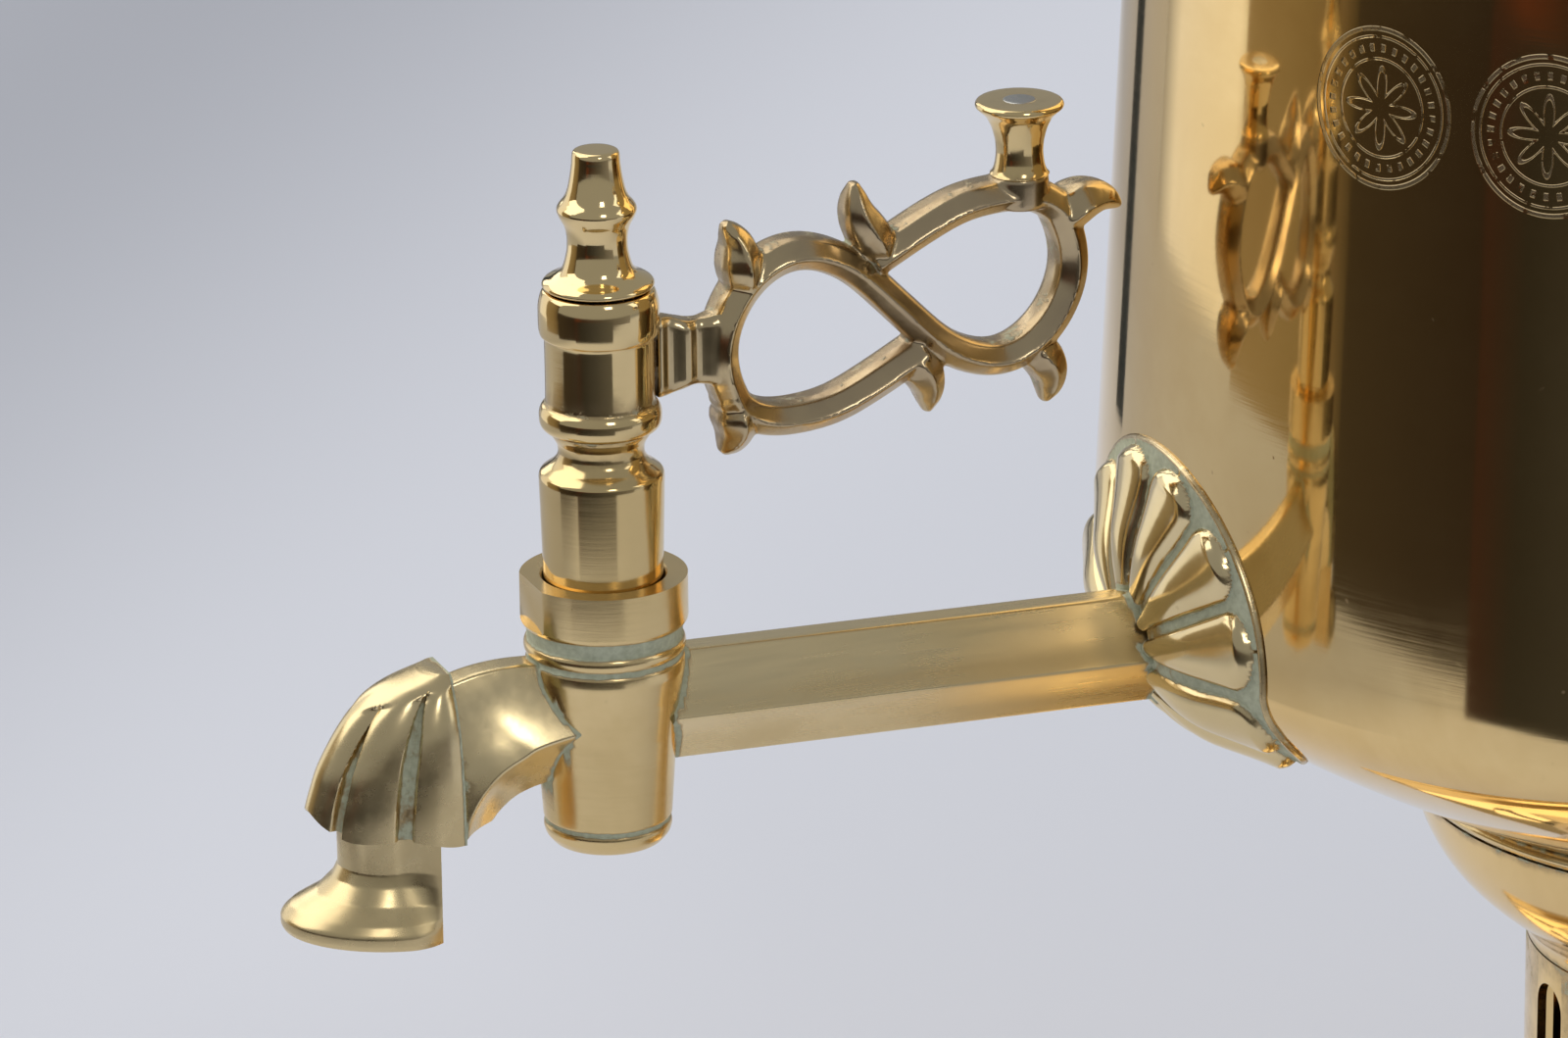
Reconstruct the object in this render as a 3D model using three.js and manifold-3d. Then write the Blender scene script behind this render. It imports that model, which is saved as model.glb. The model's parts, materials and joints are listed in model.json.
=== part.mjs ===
// A charcoal samovar of about five litres: brass vessel round a fire tube, on a waisted
// neck and a square footed base, with a tapered-plug tap worked by a scroll key.
// Millimetres, +Z up. The tap points along -Y and the side handles lie along X.

import * as THREE from 'three';
import { mergeVertices } from 'three/addons/utils/BufferGeometryUtils.js';
import Module from 'manifold-3d';

const wasm = await Module();
wasm.setup();

// Clearances and tolerances
const seam = 0.3; // gap between pieces that seat on each other
const runningGap = 0.5; // gap round a piece that turns or lifts out
const overrun = 2; // how far a cutter runs past what it cuts
const mergeDistance = 0.0001;

// Vessel
const tapHeight = 160; // floor to the middle of the tap
const wallRadius = 101; // at the belt, where the wall meets the bowl
const wallThickness = 1.5;
const wallLean = THREE.MathUtils.degToRad(2.86); // the wall draws in towards the top
const wallHeight = 150; // belt to rim
const beltDrop = 0.6; // belt below the middle of the tap
const bowlDepth = 35;
const bowlLedge = 8.4; // from the fire tube's foot out to the bowl's lower end
const bowlHandleShares = { down: 0.25, out: 0.643, up: 0.447 };
const bowlSteps = 6;
const vesselSides = 44;

// Fire tube, grate and the ring under the bowl
const tubeFootRadius = 43;
const tubeRadius = 33; // outside, above its foot
const tubeFootHeight = 30;
const tubeStandOut = 40; // how far it stands above the vessel's rim
const tubeThickness = 1.5;
const tubeSides = 24;
const bowlEndRadius = tubeFootRadius + bowlLedge;
const grateThickness = 4;
const grateBars = 5;
const grateSlot = 5;
const ringHeight = 2.2;
const ringLip = 0.8; // how far the ring stands out past the bowl
const ringWidth = 15.4;

// Cup, neck and base
const cupDepth = 26;
const neckRadius = 33.2;
const neckThickness = 1.6;
const neckFlare = 57; // radius where the neck meets the base
const baseDeckHeight = 38; // floor to the top of the base
const ventWidth = 8;
const ventHeight = 24;
const ventDrop = 4; // top of the neck to the top of a vent
const ventCount = 8;
const neckSides = 24;
const baseHalf = 76; // half the side of the square base
const baseHeight = 22; // without its feet
const baseThickness = 1.6;
const baseLedge = 30; // width of the ledge that the feet hold
const footHeight = 16;
const footRadius = 11;
const footInset = 15; // base edge to foot centre
const footSides = 12;

// Rim, lid and what stands on it
const flangeHeight = 11;
const flangeReach = 6; // past the vessel's top edge
const flangeWidth = 13;
const lidInset = 5.5; // rim's edge to the lid's edge
const lidRise = 28;
const lidThickness = 1.5;
const lidBoreGap = 2.2;
const lidSkirt = 6;
const lidSides = 32;
const knobReach = 64; // lid knobs from the middle
const knobStemHeight = 15;
const knobStemRadius = 8;
const knobRadius = 9.5;
const knobHeight = 19;
const knobSides = 12;
const ventSeatReach = 62; // steam vent from the middle
const ventSeatRadius = 7;
const ventSeatHeight = 14;
const ventBore = 2.5;
const ventCapHeight = 17;
const ventCapSides = 10;

// Crown over the fire tube, and the cap in it
const crownHeight = 38;
const crownRadius = 48;
const crownSpigot = 9; // how far it reaches down into the fire tube
const crownPlay = 3.1; // it hangs loosely in the fire tube, and its foot stands on the tube's top
const crownSides = 26;
const crownWindows = 10;
const crownWindowWidth = 6;
const crownWindowHeight = 9;
const crownWall = 1.8;
const capRadius = 33.5;
const capRise = 15;
const capSides = 20;
const capKnobHeight = 24;
const capKnobRadius = 9;

// Side handles
const gripReach = 36; // vessel wall to grip axis
const gripHeight = 262; // floor to grip axis
const gripLength = 64;
const gripRadius = 10;
const gripSides = 10;
const armRadius = 4.2;
const armFootRadius = 10;
const armFootDrop = 14; // foot below the grip axis
const armFootInset = 9; // feet closer together than the bosses
const armFootThickness = 2.4;
const armSteps = 6;
const bossRadius = 8;
const bossWidth = 9;
const rodRadius = 2.5;
const nutRadius = 4.5;
const nutLength = 8;

// Tap: barrel, pipe and rosette
const tapReach = 187.8; // vessel axis to tap axis
const collarRadius = 12.25;
const collarTop = 22.1; // above the middle of the tap
const collarFlat = 11.3; // tap axis to the flat on the collar's front
const collarDepth = 6.6;
const barrelDrop = 19.6; // below the middle of the tap
const barrelNub = 1.2;
const barrelSides = 18;
const pipeHalfWidth = 8.35;
const pipeHalfHeight = 8.4;
const pipeFlat = 4.3; // width of the flats along its top and bottom
const pipeHollow = 0.5; // how much its faces are hollowed
const pipeLift = 1; // pipe axis above the middle of the tap, at the tap
const pipeFall = THREE.MathUtils.degToRad(1.9); // towards the vessel
const bore = 6.4; // waterway, across
const boreSides = 8;
const rosetteRadius = 31.2;
const rosetteDrop = 27; // how far it reaches down the wall from the pipe
const rosetteRise = 4.4;
const rosetteRim = 0.7;
const lobeRise = 1.9;
const lobeCount = 12;
const strainerRadius = 10;
const strainerRise = 4;
const strainerHole = 2.2;
const strainerThickness = 1;

// Tap: spout
const spoutReach = 35; // tap axis to the middle of the outlet
const spoutDrop = 17; // bottom of the elbow below the middle of the tap
const shellStart = 25.2; // tap axis to the shell's flat back
const shellReach = 19; // length of the shell forward of its back
const shellHalfWidth = 9.9;
const shellTop = 11.4;
const shellBottom = 13.2; // below the middle of the tap
const shellSlant = 1.6; // its bottom edge rises this much towards the front
const fluteDepth = 1;
const fluteCount = 4;
const spoutSteps = 9;
const nozzleHeight = 12.6;
const nozzleLipLength = 15.4; // middle of the lip to its front
const nozzleLipWidth = 11.45; // half the lip's width
const nozzleNeckLength = 6.8;
const nozzleNeckWidth = 6.6;
const nozzleBack = 11.5; // how far its rear half would reach before the flat is cut
const nozzleCut = 6.2; // middle of the outlet to its flat back
const nozzleWall = 1.8;
const nozzleSides = 20;

// Key: tapered plug, sleeve, finial, scroll and thumb knob
const plugTopRadius = 9.13;
const plugTaper = 0.025; // radius lost for each millimetre down
const plugTop = 37.4; // top of the taper above the middle of the tap
const plugDrop = 14.5; // its lower end below the middle of the tap
const neckHeight = 6.6; // hollow neck above the taper
const studRadius = 4;
const sleeveHeight = 21.2;
const sleeveRadius = 8.9; // over its lower ring
const finialHeight = 20.4;
const finialRadius = 8.2;
const keySides = 14;
const scrollReach = 46.2; // tap axis to the middle of the scroll
const scrollHeight = 56.6; // middle of the tap to the middle of the scroll
const scrollHalfLength = 28;
const scrollHalfHeight = 15;
const scrollBarDepth = 3.2; // half the depth of a bar, ridge to ridge
const scrollBarWidth = 2.3; // half its width across the scroll
const webDepth = 4.6;
const webHeight = 12.4;
const thumbReach = 65.8; // tap axis to the thumb knob
const thumbTop = 85.4; // above the middle of the tap
const thumbRadius = 6.5;
const thumbHeight = 11.2;
const thumbBoss = 4.2;

// Finishes
const brass = new THREE.MeshStandardMaterial({ color: 0xd9b765, metalness: 1, roughness: 0.16 });
const castBrass = new THREE.MeshStandardMaterial({ color: 0xc9a658, metalness: 1, roughness: 0.3 });
const tinned = new THREE.MeshStandardMaterial({ color: 0xb9bcbb, metalness: 1, roughness: 0.45 });
const castIron = new THREE.MeshStandardMaterial({ color: 0x3c3a38, metalness: 0.8, roughness: 0.7 });
const steel = new THREE.MeshStandardMaterial({ color: 0x8d8c88, metalness: 1, roughness: 0.4 });
const turnedWood = new THREE.MeshStandardMaterial({ color: 0x3a2114, metalness: 0, roughness: 0.42 });

const samovar = new THREE.Group();

// Shape helpers

function solidFrom(geometry) {
  const bare = new THREE.BufferGeometry();
  bare.setAttribute('position', geometry.getAttribute('position').clone());
  if (geometry.index) bare.setIndex(geometry.index.clone());
  const merged = mergeVertices(bare, mergeDistance);
  const corners = merged.index.array;
  const kept = [];
  for (let i = 0; i < corners.length; i += 3) {
    const [a, b, c] = corners.subarray(i, i + 3);
    if (a !== b && b !== c && c !== a) kept.push(a, b, c);
  }
  const vertProperties = merged.getAttribute('position').array;
  const make = triVerts => new wasm.Manifold(new wasm.Mesh({ numProp: 3, vertProperties, triVerts }));
  const solid = make(new Uint32Array(kept));
  // An outline drawn the other way round gives an inside-out solid, so its triangles are turned over.
  return solid.volume() > 0 ? solid : make(new Uint32Array(kept.reverse()));
}

function geometryFrom(solid) {
  const mesh = solid.getMesh();
  const geometry = new THREE.BufferGeometry();
  geometry.setAttribute('position', new THREE.BufferAttribute(mesh.vertProperties, 3));
  geometry.setIndex(new THREE.BufferAttribute(mesh.triVerts, 1));
  geometry.computeVertexNormals();
  return geometry;
}

function cut(solid, ...tools) {
  return tools.reduce((left, tool) => left.subtract(tool), solid);
}

function join(...solids) {
  return solids.reduce((whole, solid) => whole.add(solid));
}

// Turns an outline of [radius, height] pairs round the Z axis. It starts and ends on the
// axis, or is closed on itself.
function turned(outline, sides) {
  const points = outline.map(([radius, height]) => new THREE.Vector2(radius, height));
  const onAxis = outline[0][0] === 0 && outline.at(-1)[0] === 0;
  if (!onAxis) points.push(points[0].clone());
  return solidFrom(new THREE.LatheGeometry(points, sides).rotateX(Math.PI / 2));
}

// Reads a table of [radius share, height share] pairs as an outline of that radius and height.
function scaled(shares, radius, height, base) {
  return shares.map(([across, up]) => [across * radius, base + up * height]);
}

// Joins rings of points, each with as many corners, and closes both ends.
function loft(rings) {
  const corners = rings[0].length;
  const positions = rings.flat().flatMap(point => point.toArray());
  const index = [];
  for (let ring = 0; ring < rings.length - 1; ring++) {
    for (let corner = 0; corner < corners; corner++) {
      const a = ring * corners + corner;
      const b = ring * corners + (corner + 1) % corners;
      index.push(a, b, b + corners, a, b + corners, a + corners);
    }
  }
  [0, rings.length - 1].forEach((ring, end) => {
    const middle = rings[ring].reduce((sum, point) => sum.add(point), new THREE.Vector3());
    const centre = positions.length / 3;
    positions.push(...middle.divideScalar(corners).toArray());
    for (let corner = 0; corner < corners; corner++) {
      const a = ring * corners + corner;
      const b = ring * corners + (corner + 1) % corners;
      index.push(...(end ? [centre, a, b] : [centre, b, a]));
    }
  });
  const geometry = new THREE.BufferGeometry();
  geometry.setAttribute('position', new THREE.Float32BufferAttribute(positions, 3));
  geometry.setIndex(index);
  return solidFrom(geometry);
}

// A round bar from one point to another.
function bar(from, to, radius, sides) {
  const way = to.clone().sub(from);
  const geometry = new THREE.CylinderGeometry(radius, radius, way.length(), sides);
  geometry.applyQuaternion(new THREE.Quaternion().setFromUnitVectors(
    new THREE.Vector3(0, 1, 0), way.clone().normalize()));
  const middle = from.clone().add(to).divideScalar(2);
  return solidFrom(geometry.translate(middle.x, middle.y, middle.z));
}

function block(low, high) {
  const size = high.clone().sub(low);
  const middle = low.clone().add(high).divideScalar(2);
  return solidFrom(new THREE.BoxGeometry(size.x, size.y, size.z).translate(middle.x, middle.y, middle.z));
}

function point(x, y, z) {
  return new THREE.Vector3(x, y, z);
}

function moved(solid, offset) {
  return solidFrom(geometryFrom(solid).translate(offset.x, offset.y, offset.z));
}

function turnedAbout(solid, angle) {
  return solidFrom(geometryFrom(solid).rotateZ(angle));
}

function piece(name, solid, material) {
  const mesh = new THREE.Mesh(geometryFrom(solid), material);
  mesh.name = name;
  samovar.add(mesh);
}

// Moves each point of an open outline to its left-hand side by a distance.
function offsetOutline(outline, distance) {
  return outline.map(([radius, height], i) => {
    const [r0, h0] = outline[Math.max(i - 1, 0)];
    const [r1, h1] = outline[Math.min(i + 1, outline.length - 1)];
    const length = Math.hypot(r1 - r0, h1 - h0);
    return [radius - distance * (h1 - h0) / length, height + distance * (r1 - r0) / length];
  });
}

// Leaves out every other point between the ends, for faces that are not seen.
function thinned(outline) {
  return outline.filter((_, i) => i % 2 === 0 || i === outline.length - 1);
}

// Reads a table whose first column rises, between the two rows that a value lies between.
function between(table, value) {
  const next = Math.max(table.findIndex(row => row[0] > value), 1);
  const share = (value - table[next - 1][0]) / (table[next][0] - table[next - 1][0]);
  return table[next - 1].map((low, column) => low + share * (table[next][column] - low));
}

// Vessel outline, from the bowl's lower end up to the rim

const beltHeight = tapHeight - beltDrop;
const bowlBottom = beltHeight - bowlDepth;
const rimHeight = beltHeight + wallHeight;
const rimRadius = wallRadius - wallHeight * Math.tan(wallLean);

const bowlCurve = new THREE.CubicBezierCurve(
  new THREE.Vector2(bowlEndRadius, bowlBottom),
  new THREE.Vector2(
    bowlEndRadius + bowlHandleShares.out * (wallRadius - bowlEndRadius),
    bowlBottom + bowlHandleShares.up * bowlDepth),
  new THREE.Vector2(wallRadius, beltHeight - bowlHandleShares.down * bowlDepth),
  new THREE.Vector2(wallRadius, beltHeight));
const wallOutline = [...bowlCurve.getPoints(bowlSteps).map(p => [p.x, p.y]), [rimRadius, rimHeight]];

function wallRadiusAt(height) {
  return between(wallOutline.map(([radius, h]) => [h, radius]), height)[1];
}

// The whole space that the vessel fills, grown by a clearance. What seats on the wall is cut by it.
function vesselSpace(clearance) {
  const grown = offsetOutline(wallOutline, -clearance);
  return turned([[0, grown[0][1]], ...grown, [0, grown.at(-1)[1]]], vesselSides);
}

// The space that the vessel's inside leaves, less a clearance
function waterSpace(clearance) {
  const inner = thinned(offsetOutline(wallOutline, wallThickness + clearance));
  return turned([[0, inner[0][1]], ...inner, [0, inner.at(-1)[1]]], vesselSides);
}

// Where the pipe's axis meets the wall, seen in the tap's own frame and in the whole
const pipeAxisAt = forward =>
  point(0, -tapReach + forward, tapHeight + pipeLift - forward * Math.tan(pipeFall));
const pipeLength = tapReach - wallRadius;
const wallCentre = pipeAxisAt(pipeLength);

// The wall's outline as [distance along it, radius, height], counted from its lower end
const wallRun = wallOutline.reduce((run, [radius, height]) => {
  const [distance, r, h] = run.at(-1) ?? [0, radius, height];
  return [...run, [distance + Math.hypot(radius - r, height - h), radius, height]];
}, []);
const runToPipe = between(wallRun.map(([distance, , height]) => [height, distance]), wallCentre.z)[1];

function buildVessel() {
  const inside = thinned(offsetOutline(wallOutline, wallThickness)).reverse();
  const tubeHole = tubeFootRadius + seam;
  const floorTop = bowlBottom + wallThickness;
  const outline = [
    [tubeHole, bowlBottom], ...wallOutline, [inside[0][0], rimHeight], ...inside.slice(1, -1),
    [bowlEndRadius, floorTop], [tubeHole, floorTop],
  ];
  const waterway = bar(
    pipeAxisAt(pipeLength - overrun * 3), pipeAxisAt(pipeLength + overrun * 3), bore / 2, boreSides);
  piece('vessel_shell', cut(turned(outline, vesselSides), waterway), brass);
}

// Fire tube: a wide foot in the vessel's floor, drawn in to a straight flue
const tubeBottom = bowlBottom + seam;
const tubeTop = rimHeight + tubeStandOut;
const grateRadius = tubeFootRadius - tubeThickness - seam;

function buildFireTube() {
  const outside = [
    [tubeFootRadius, tubeBottom - seam], [tubeFootRadius, tubeBottom + tubeFootHeight * 0.35],
    [tubeRadius + (tubeFootRadius - tubeRadius) * 0.45, tubeBottom + tubeFootHeight * 0.75],
    [tubeRadius, tubeBottom + tubeFootHeight * 1.1], [tubeRadius, tubeTop],
  ];
  const inside = offsetOutline(outside, tubeThickness).reverse();
  inside[0][1] = tubeTop;
  inside[inside.length - 1][1] = outside[0][1];
  piece('fire_tube', turned([...outside, ...inside], tubeSides), tinned);

  // The grate rests on the ring's inner ledge, inside the tube's foot.
  const top = tubeBottom + grateThickness;
  const pitch = 2 * grateRadius / (grateBars + 1);
  const slots = [];
  for (let i = 1; i <= grateBars; i++) {
    const across = -grateRadius + pitch * i;
    const half = Math.sqrt(grateRadius ** 2 - across ** 2) - grateSlot;
    slots.push(block(
      point(across - grateSlot / 2, -half, tubeBottom - overrun),
      point(across + grateSlot / 2, half, top + overrun)));
  }
  const disc = turned([[0, tubeBottom], [grateRadius, tubeBottom], [grateRadius, top], [0, top]], tubeSides);
  piece('fire_grate', cut(disc, ...slots), castIron);
}

// Stack under the bowl: ring, cup, neck
const ringTop = bowlBottom - seam;
const cupTop = ringTop - ringHeight - seam;
const cupBottom = cupTop - cupDepth;
const neckTop = cupBottom - seam;

function buildWaist() {
  const outer = bowlEndRadius + ringLip;
  const inner = outer - ringWidth;
  const low = ringTop - ringHeight;
  const mid = (ringTop + low) / 2;
  piece('waist_ring', turned([
    [inner, low], [outer - ringLip, low], [outer, mid], [outer - ringLip, ringTop], [inner, ringTop],
  ], neckSides), brass);

  const cupCurve = new THREE.CubicBezierCurve(
    new THREE.Vector2(bowlEndRadius, cupTop),
    new THREE.Vector2(bowlEndRadius - 0.2 * (bowlEndRadius - neckRadius), cupTop - 0.68 * cupDepth),
    new THREE.Vector2(neckRadius, cupBottom + 0.24 * cupDepth),
    new THREE.Vector2(neckRadius, cupBottom));
  const cupOutside = cupCurve.getPoints(5).map(p => [p.x, p.y]);
  const cupInside = thinned(offsetOutline(cupOutside, -neckThickness)).reverse();
  cupInside[0][1] = cupBottom;
  cupInside[cupInside.length - 1][1] = cupTop;
  piece('neck_cup', turned([...cupOutside, ...cupInside], neckSides), brass);

  const drop = neckTop - baseDeckHeight - seam;
  const foot = neckTop - drop;
  const flare = neckFlare - neckRadius;
  const neckOutside = [
    [neckRadius, neckTop], [neckRadius, foot + drop * 0.42], [neckRadius + flare * 0.1, foot + drop * 0.3],
    [neckRadius + flare * 0.32, foot + drop * 0.19], [neckRadius + flare * 0.7, foot + drop * 0.11],
    [neckFlare, foot + drop * 0.08], [neckFlare, foot],
  ];
  const neckInside = offsetOutline(neckOutside, -neckThickness).reverse();
  neckInside[0][1] = foot;
  neckInside[neckInside.length - 1][1] = neckTop;
  const vents = [];
  for (let i = 0; i < ventCount; i++) {
    const top = neckTop - ventDrop - ventWidth / 2;
    const slot = join(
      block(point(0, -ventWidth / 2, neckTop - ventDrop - ventHeight), point(neckFlare, ventWidth / 2, top)),
      bar(point(0, 0, top), point(neckFlare, 0, top), ventWidth / 2, boreSides));
    vents.push(turnedAbout(slot, -Math.PI / 2 + i * 2 * Math.PI / ventCount));
  }
  piece('neck', cut(turned([...neckOutside, ...neckInside], neckSides), ...vents), brass);
}

// Square base, pressed from sheet, with a ledge that the feet hold
const squareReach = Math.SQRT2; // a four-sided turning has its corners this much past its sides
const baseShares = [[0.75, 1], [0.8, 0.78], [0.86, 0.62], [0.93, 0.5], [0.95, 0.36], [1, 0.27], [1, 0]];

function buildBase() {
  const outside = baseShares.map(([across, up]) => [across * baseHalf, footHeight + up * baseHeight]);
  const inside = offsetOutline(outside, -baseThickness).reverse();
  inside[0][1] = footHeight + baseThickness;
  inside[inside.length - 1][1] = baseDeckHeight - baseThickness;
  const ledge = baseHalf - baseLedge;
  const outline = [
    [0, baseDeckHeight], ...outside, [ledge, footHeight], [ledge, footHeight + baseThickness],
    ...inside, [0, baseDeckHeight - baseThickness],
  ].map(([across, height]) => [across * squareReach, height]);
  piece('base_plate', turnedAbout(turned(outline, 4), Math.PI / 4), brass);

  const bunShares = [[0, 0], [0.62, 0], [0.93, 0.16], [1, 0.4], [0.88, 0.62], [0.55, 0.8], [0.8, 1], [0, 1]];
  const outlineOfFoot = scaled(bunShares, footRadius, footHeight - seam, 0);
  const reach = baseHalf - footInset;
  const corners = { front_left: [-1, -1], front_right: [1, -1], rear_left: [-1, 1], rear_right: [1, 1] };
  for (const [name, [x, y]] of Object.entries(corners)) {
    piece(`foot_${name}`, moved(turned(outlineOfFoot, footSides), point(x * reach, y * reach, 0)), castBrass);
  }
}

// Rim flange and lid
const flangeBottom = rimHeight + seam;
const flangeTop = flangeBottom + flangeHeight;
const lidRadius = rimRadius + flangeReach - lidInset;
const lidBase = flangeTop + seam;
const lidBore = tubeRadius + lidBoreGap;
const lidShares = [
  [1, 0], [1.01, 0.06], [0.97, 0.14], [0.92, 0.25], [0.81, 0.53], [0.64, 0.78], [0.4, 0.94], [0.12, 1],
  [0.02, 1.01], [0, 1.07],
];
// The lid's outline runs from its rim to the collar round the fire tube.
const lidOutline = lidShares.map(([across, up]) => [
  lidBore + lidThickness + across * (lidRadius - lidBore - lidThickness), lidBase + up * lidRise,
]);

function lidSpace(clearance) {
  const grown = offsetOutline(lidOutline, -clearance);
  const low = lidBase - overrun;
  return turned([[0, low], [grown[0][0], low], ...grown, [0, grown.at(-1)[1]]], lidSides);
}

function lidHeightAt(radius) {
  const above = lidOutline.findIndex(([r], i) => i > 2 && r < radius);
  const [r0, h0] = lidOutline[above - 1];
  const [r1, h1] = lidOutline[above];
  return h0 + (h1 - h0) * (radius - r0) / (r1 - r0);
}

function buildRim() {
  const inner = rimRadius + flangeReach - flangeWidth;
  const mouldingShares = [
    [0, 0], [0.62, 0], [0.78, 0.16], [1, 0.28], [1.02, 0.45], [0.96, 0.6], [0.84, 0.66], [0.7, 1], [0, 1],
  ];
  const moulding = mouldingShares.map(([across, up]) =>
    [inner + across * flangeWidth, flangeBottom + up * flangeHeight]);
  piece('rim_flange', turned(moulding, vesselSides), brass);

  const top = lidOutline.at(-1)[1];
  const inside = offsetOutline(lidOutline, lidThickness).reverse();
  inside[0][1] = top;
  const skirtOuter = inner - runningGap;
  const skirt = [
    [skirtOuter - lidThickness, lidBase + lidThickness], [skirtOuter - lidThickness, lidBase - lidSkirt],
    [skirtOuter, lidBase - lidSkirt], [skirtOuter, lidBase],
  ];
  piece('lid', turned([...lidOutline, ...inside.slice(0, -3), ...skirt], lidSides), brass);
}

// A turned wooden knob on a brass stem, seated on the lid
const stemShares = [
  [0, -0.6], [1, -0.6], [1, 0.12], [0.62, 0.24], [0.5, 0.5], [0.62, 0.78], [0.98, 0.86], [0.98, 1], [0, 1],
];
const knobShares = [
  [0, 0], [0.5, 0], [0.62, 0.1], [0.9, 0.28], [1, 0.5], [0.9, 0.72], [0.6, 0.9], [0.3, 0.97], [0, 1],
];

function buildLidFittings() {
  const seat = lidHeightAt(knobReach);
  const stem = turned(scaled(stemShares, knobStemRadius, knobStemHeight, seat), knobSides);
  const knob = turned(scaled(knobShares, knobRadius, knobHeight, seat + knobStemHeight + seam), knobSides);
  for (const [side, x] of [['left', -knobReach], ['right', knobReach]]) {
    piece(`lid_knob_stem_${side}`, cut(moved(stem, point(x, 0, 0)), lidSpace(seam)), castBrass);
    piece(`lid_knob_${side}`, moved(knob, point(x, 0, 0)), turnedWood);
  }

  const ventBase = lidHeightAt(ventSeatReach);
  const seatShares = [
    [0, -0.6], [1.25, -0.6], [1.25, 0.14], [0.9, 0.24], [0.72, 0.6], [0.95, 0.9], [0.95, 1], [0, 1],
  ];
  const place = point(0, ventSeatReach, 0);
  const seatOutline = scaled(seatShares, ventSeatRadius, ventSeatHeight, ventBase);
  const seatSolid = moved(turned(seatOutline, ventCapSides), place);
  const hole = bar(
    point(0, ventSeatReach, ventBase - ventSeatHeight),
    point(0, ventSeatReach, ventBase + ventSeatHeight + overrun),
    ventBore, boreSides);
  piece('steam_vent_seat', cut(seatSolid, lidSpace(seam), hole), castBrass);

  const pin = ventBore - runningGap;
  const capBase = ventBase + ventSeatHeight + seam;
  const capShares = [
    [0.95, 0], [0.95, 0.1], [0.5, 0.22], [0.36, 0.45], [0.6, 0.58], [0.78, 0.76], [0.6, 0.93], [0, 1],
  ];
  const pinLength = ventSeatHeight / 2;
  const capOutline = [
    [0, capBase - pinLength], [pin, capBase - pinLength], [pin, capBase],
    ...scaled(capShares, ventSeatRadius, ventCapHeight, capBase),
  ];
  piece('steam_vent_cap', moved(turned(capOutline, ventCapSides), place), castBrass);
}

// Crown: a spigot in the fire tube and a pierced gallery round the cap
const crownBase = tubeTop + seam;
const crownFloor = crownBase + crownWall;
const spigotRadius = tubeRadius - tubeThickness - crownPlay;
const crownBore = spigotRadius - crownWall;

function buildCrown() {
  const spigotTop = crownBase - seam;
  const spigotEnd = crownBase - crownSpigot;
  piece('crown_spigot', turned([
    [crownBore, spigotEnd], [spigotRadius, spigotEnd], [spigotRadius, spigotTop], [crownBore, spigotTop],
  ], crownSides), brass);

  const wallShares = [[0.32, 0.1], [0.55, 0.2], [0.66, 0.42], [0.73, 0.66], [1, 0.88], [1, 1]];
  const outside = wallShares.map(([across, up]) =>
    [spigotRadius + across * (crownRadius - spigotRadius), crownBase + up * crownHeight]);
  const wall = offsetOutline(outside.slice(1), crownWall).reverse();
  wall[0][1] = crownBase + crownHeight;
  const inside = [...wall, [wall.at(-1)[0], crownFloor], [crownBore, crownFloor], [crownBore, crownBase]];
  const windows = [];
  const sill = crownBase + crownHeight * 0.36;
  for (let i = 0; i < crownWindows; i++) {
    const arch = sill + crownWindowHeight - crownWindowWidth / 2;
    const window = join(
      block(point(0, -crownWindowWidth / 2, sill), point(crownRadius, crownWindowWidth / 2, arch)),
      bar(point(0, 0, arch), point(crownRadius, 0, arch), crownWindowWidth / 2, boreSides));
    windows.push(turnedAbout(window, (i + 0.5) * 2 * Math.PI / crownWindows));
  }
  piece('crown', cut(turned([
    [lidBore - runningGap, crownBase], ...outside, ...inside,
  ], crownSides), ...windows), brass);

  const capBase = crownFloor + seam;
  const domeShares = [[1, 0], [1, 0.1], [0.8, 0.5], [0.55, 0.8], [0.3, 0.96], [0.2, 1]];
  const capOutside = scaled(domeShares, capRadius, capRise, capBase);
  const capInside = offsetOutline(capOutside, crownWall).reverse();
  capInside[capInside.length - 1][1] = capBase;
  const capTop = capBase + capRise;
  piece('chimney_cap', turned([
    ...capOutside, [0, capTop], [0, capTop - crownWall], ...capInside.slice(1),
  ], capSides), brass);

  const stemHeight = capKnobHeight * 0.42;
  const stemBase = capTop + seam;
  piece('cap_knob_stem', turned(
    scaled(stemShares.map(([r, h]) => [r, Math.max(h, 0)]), knobStemRadius * 0.8, stemHeight, stemBase),
    knobSides), castBrass);
  const knob = scaled(knobShares, capKnobRadius, capKnobHeight - stemHeight, stemBase + stemHeight + seam);
  piece('cap_knob', turned(knob, knobSides), turnedWood);
}

// Side handles: two cast arms on each side hold a turned grip on a steel rod
const bossCentre = gripLength / 2 + seam + bossWidth / 2;
const rodLength = 2 * (bossCentre + bossWidth / 2) + nutLength;

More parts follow.
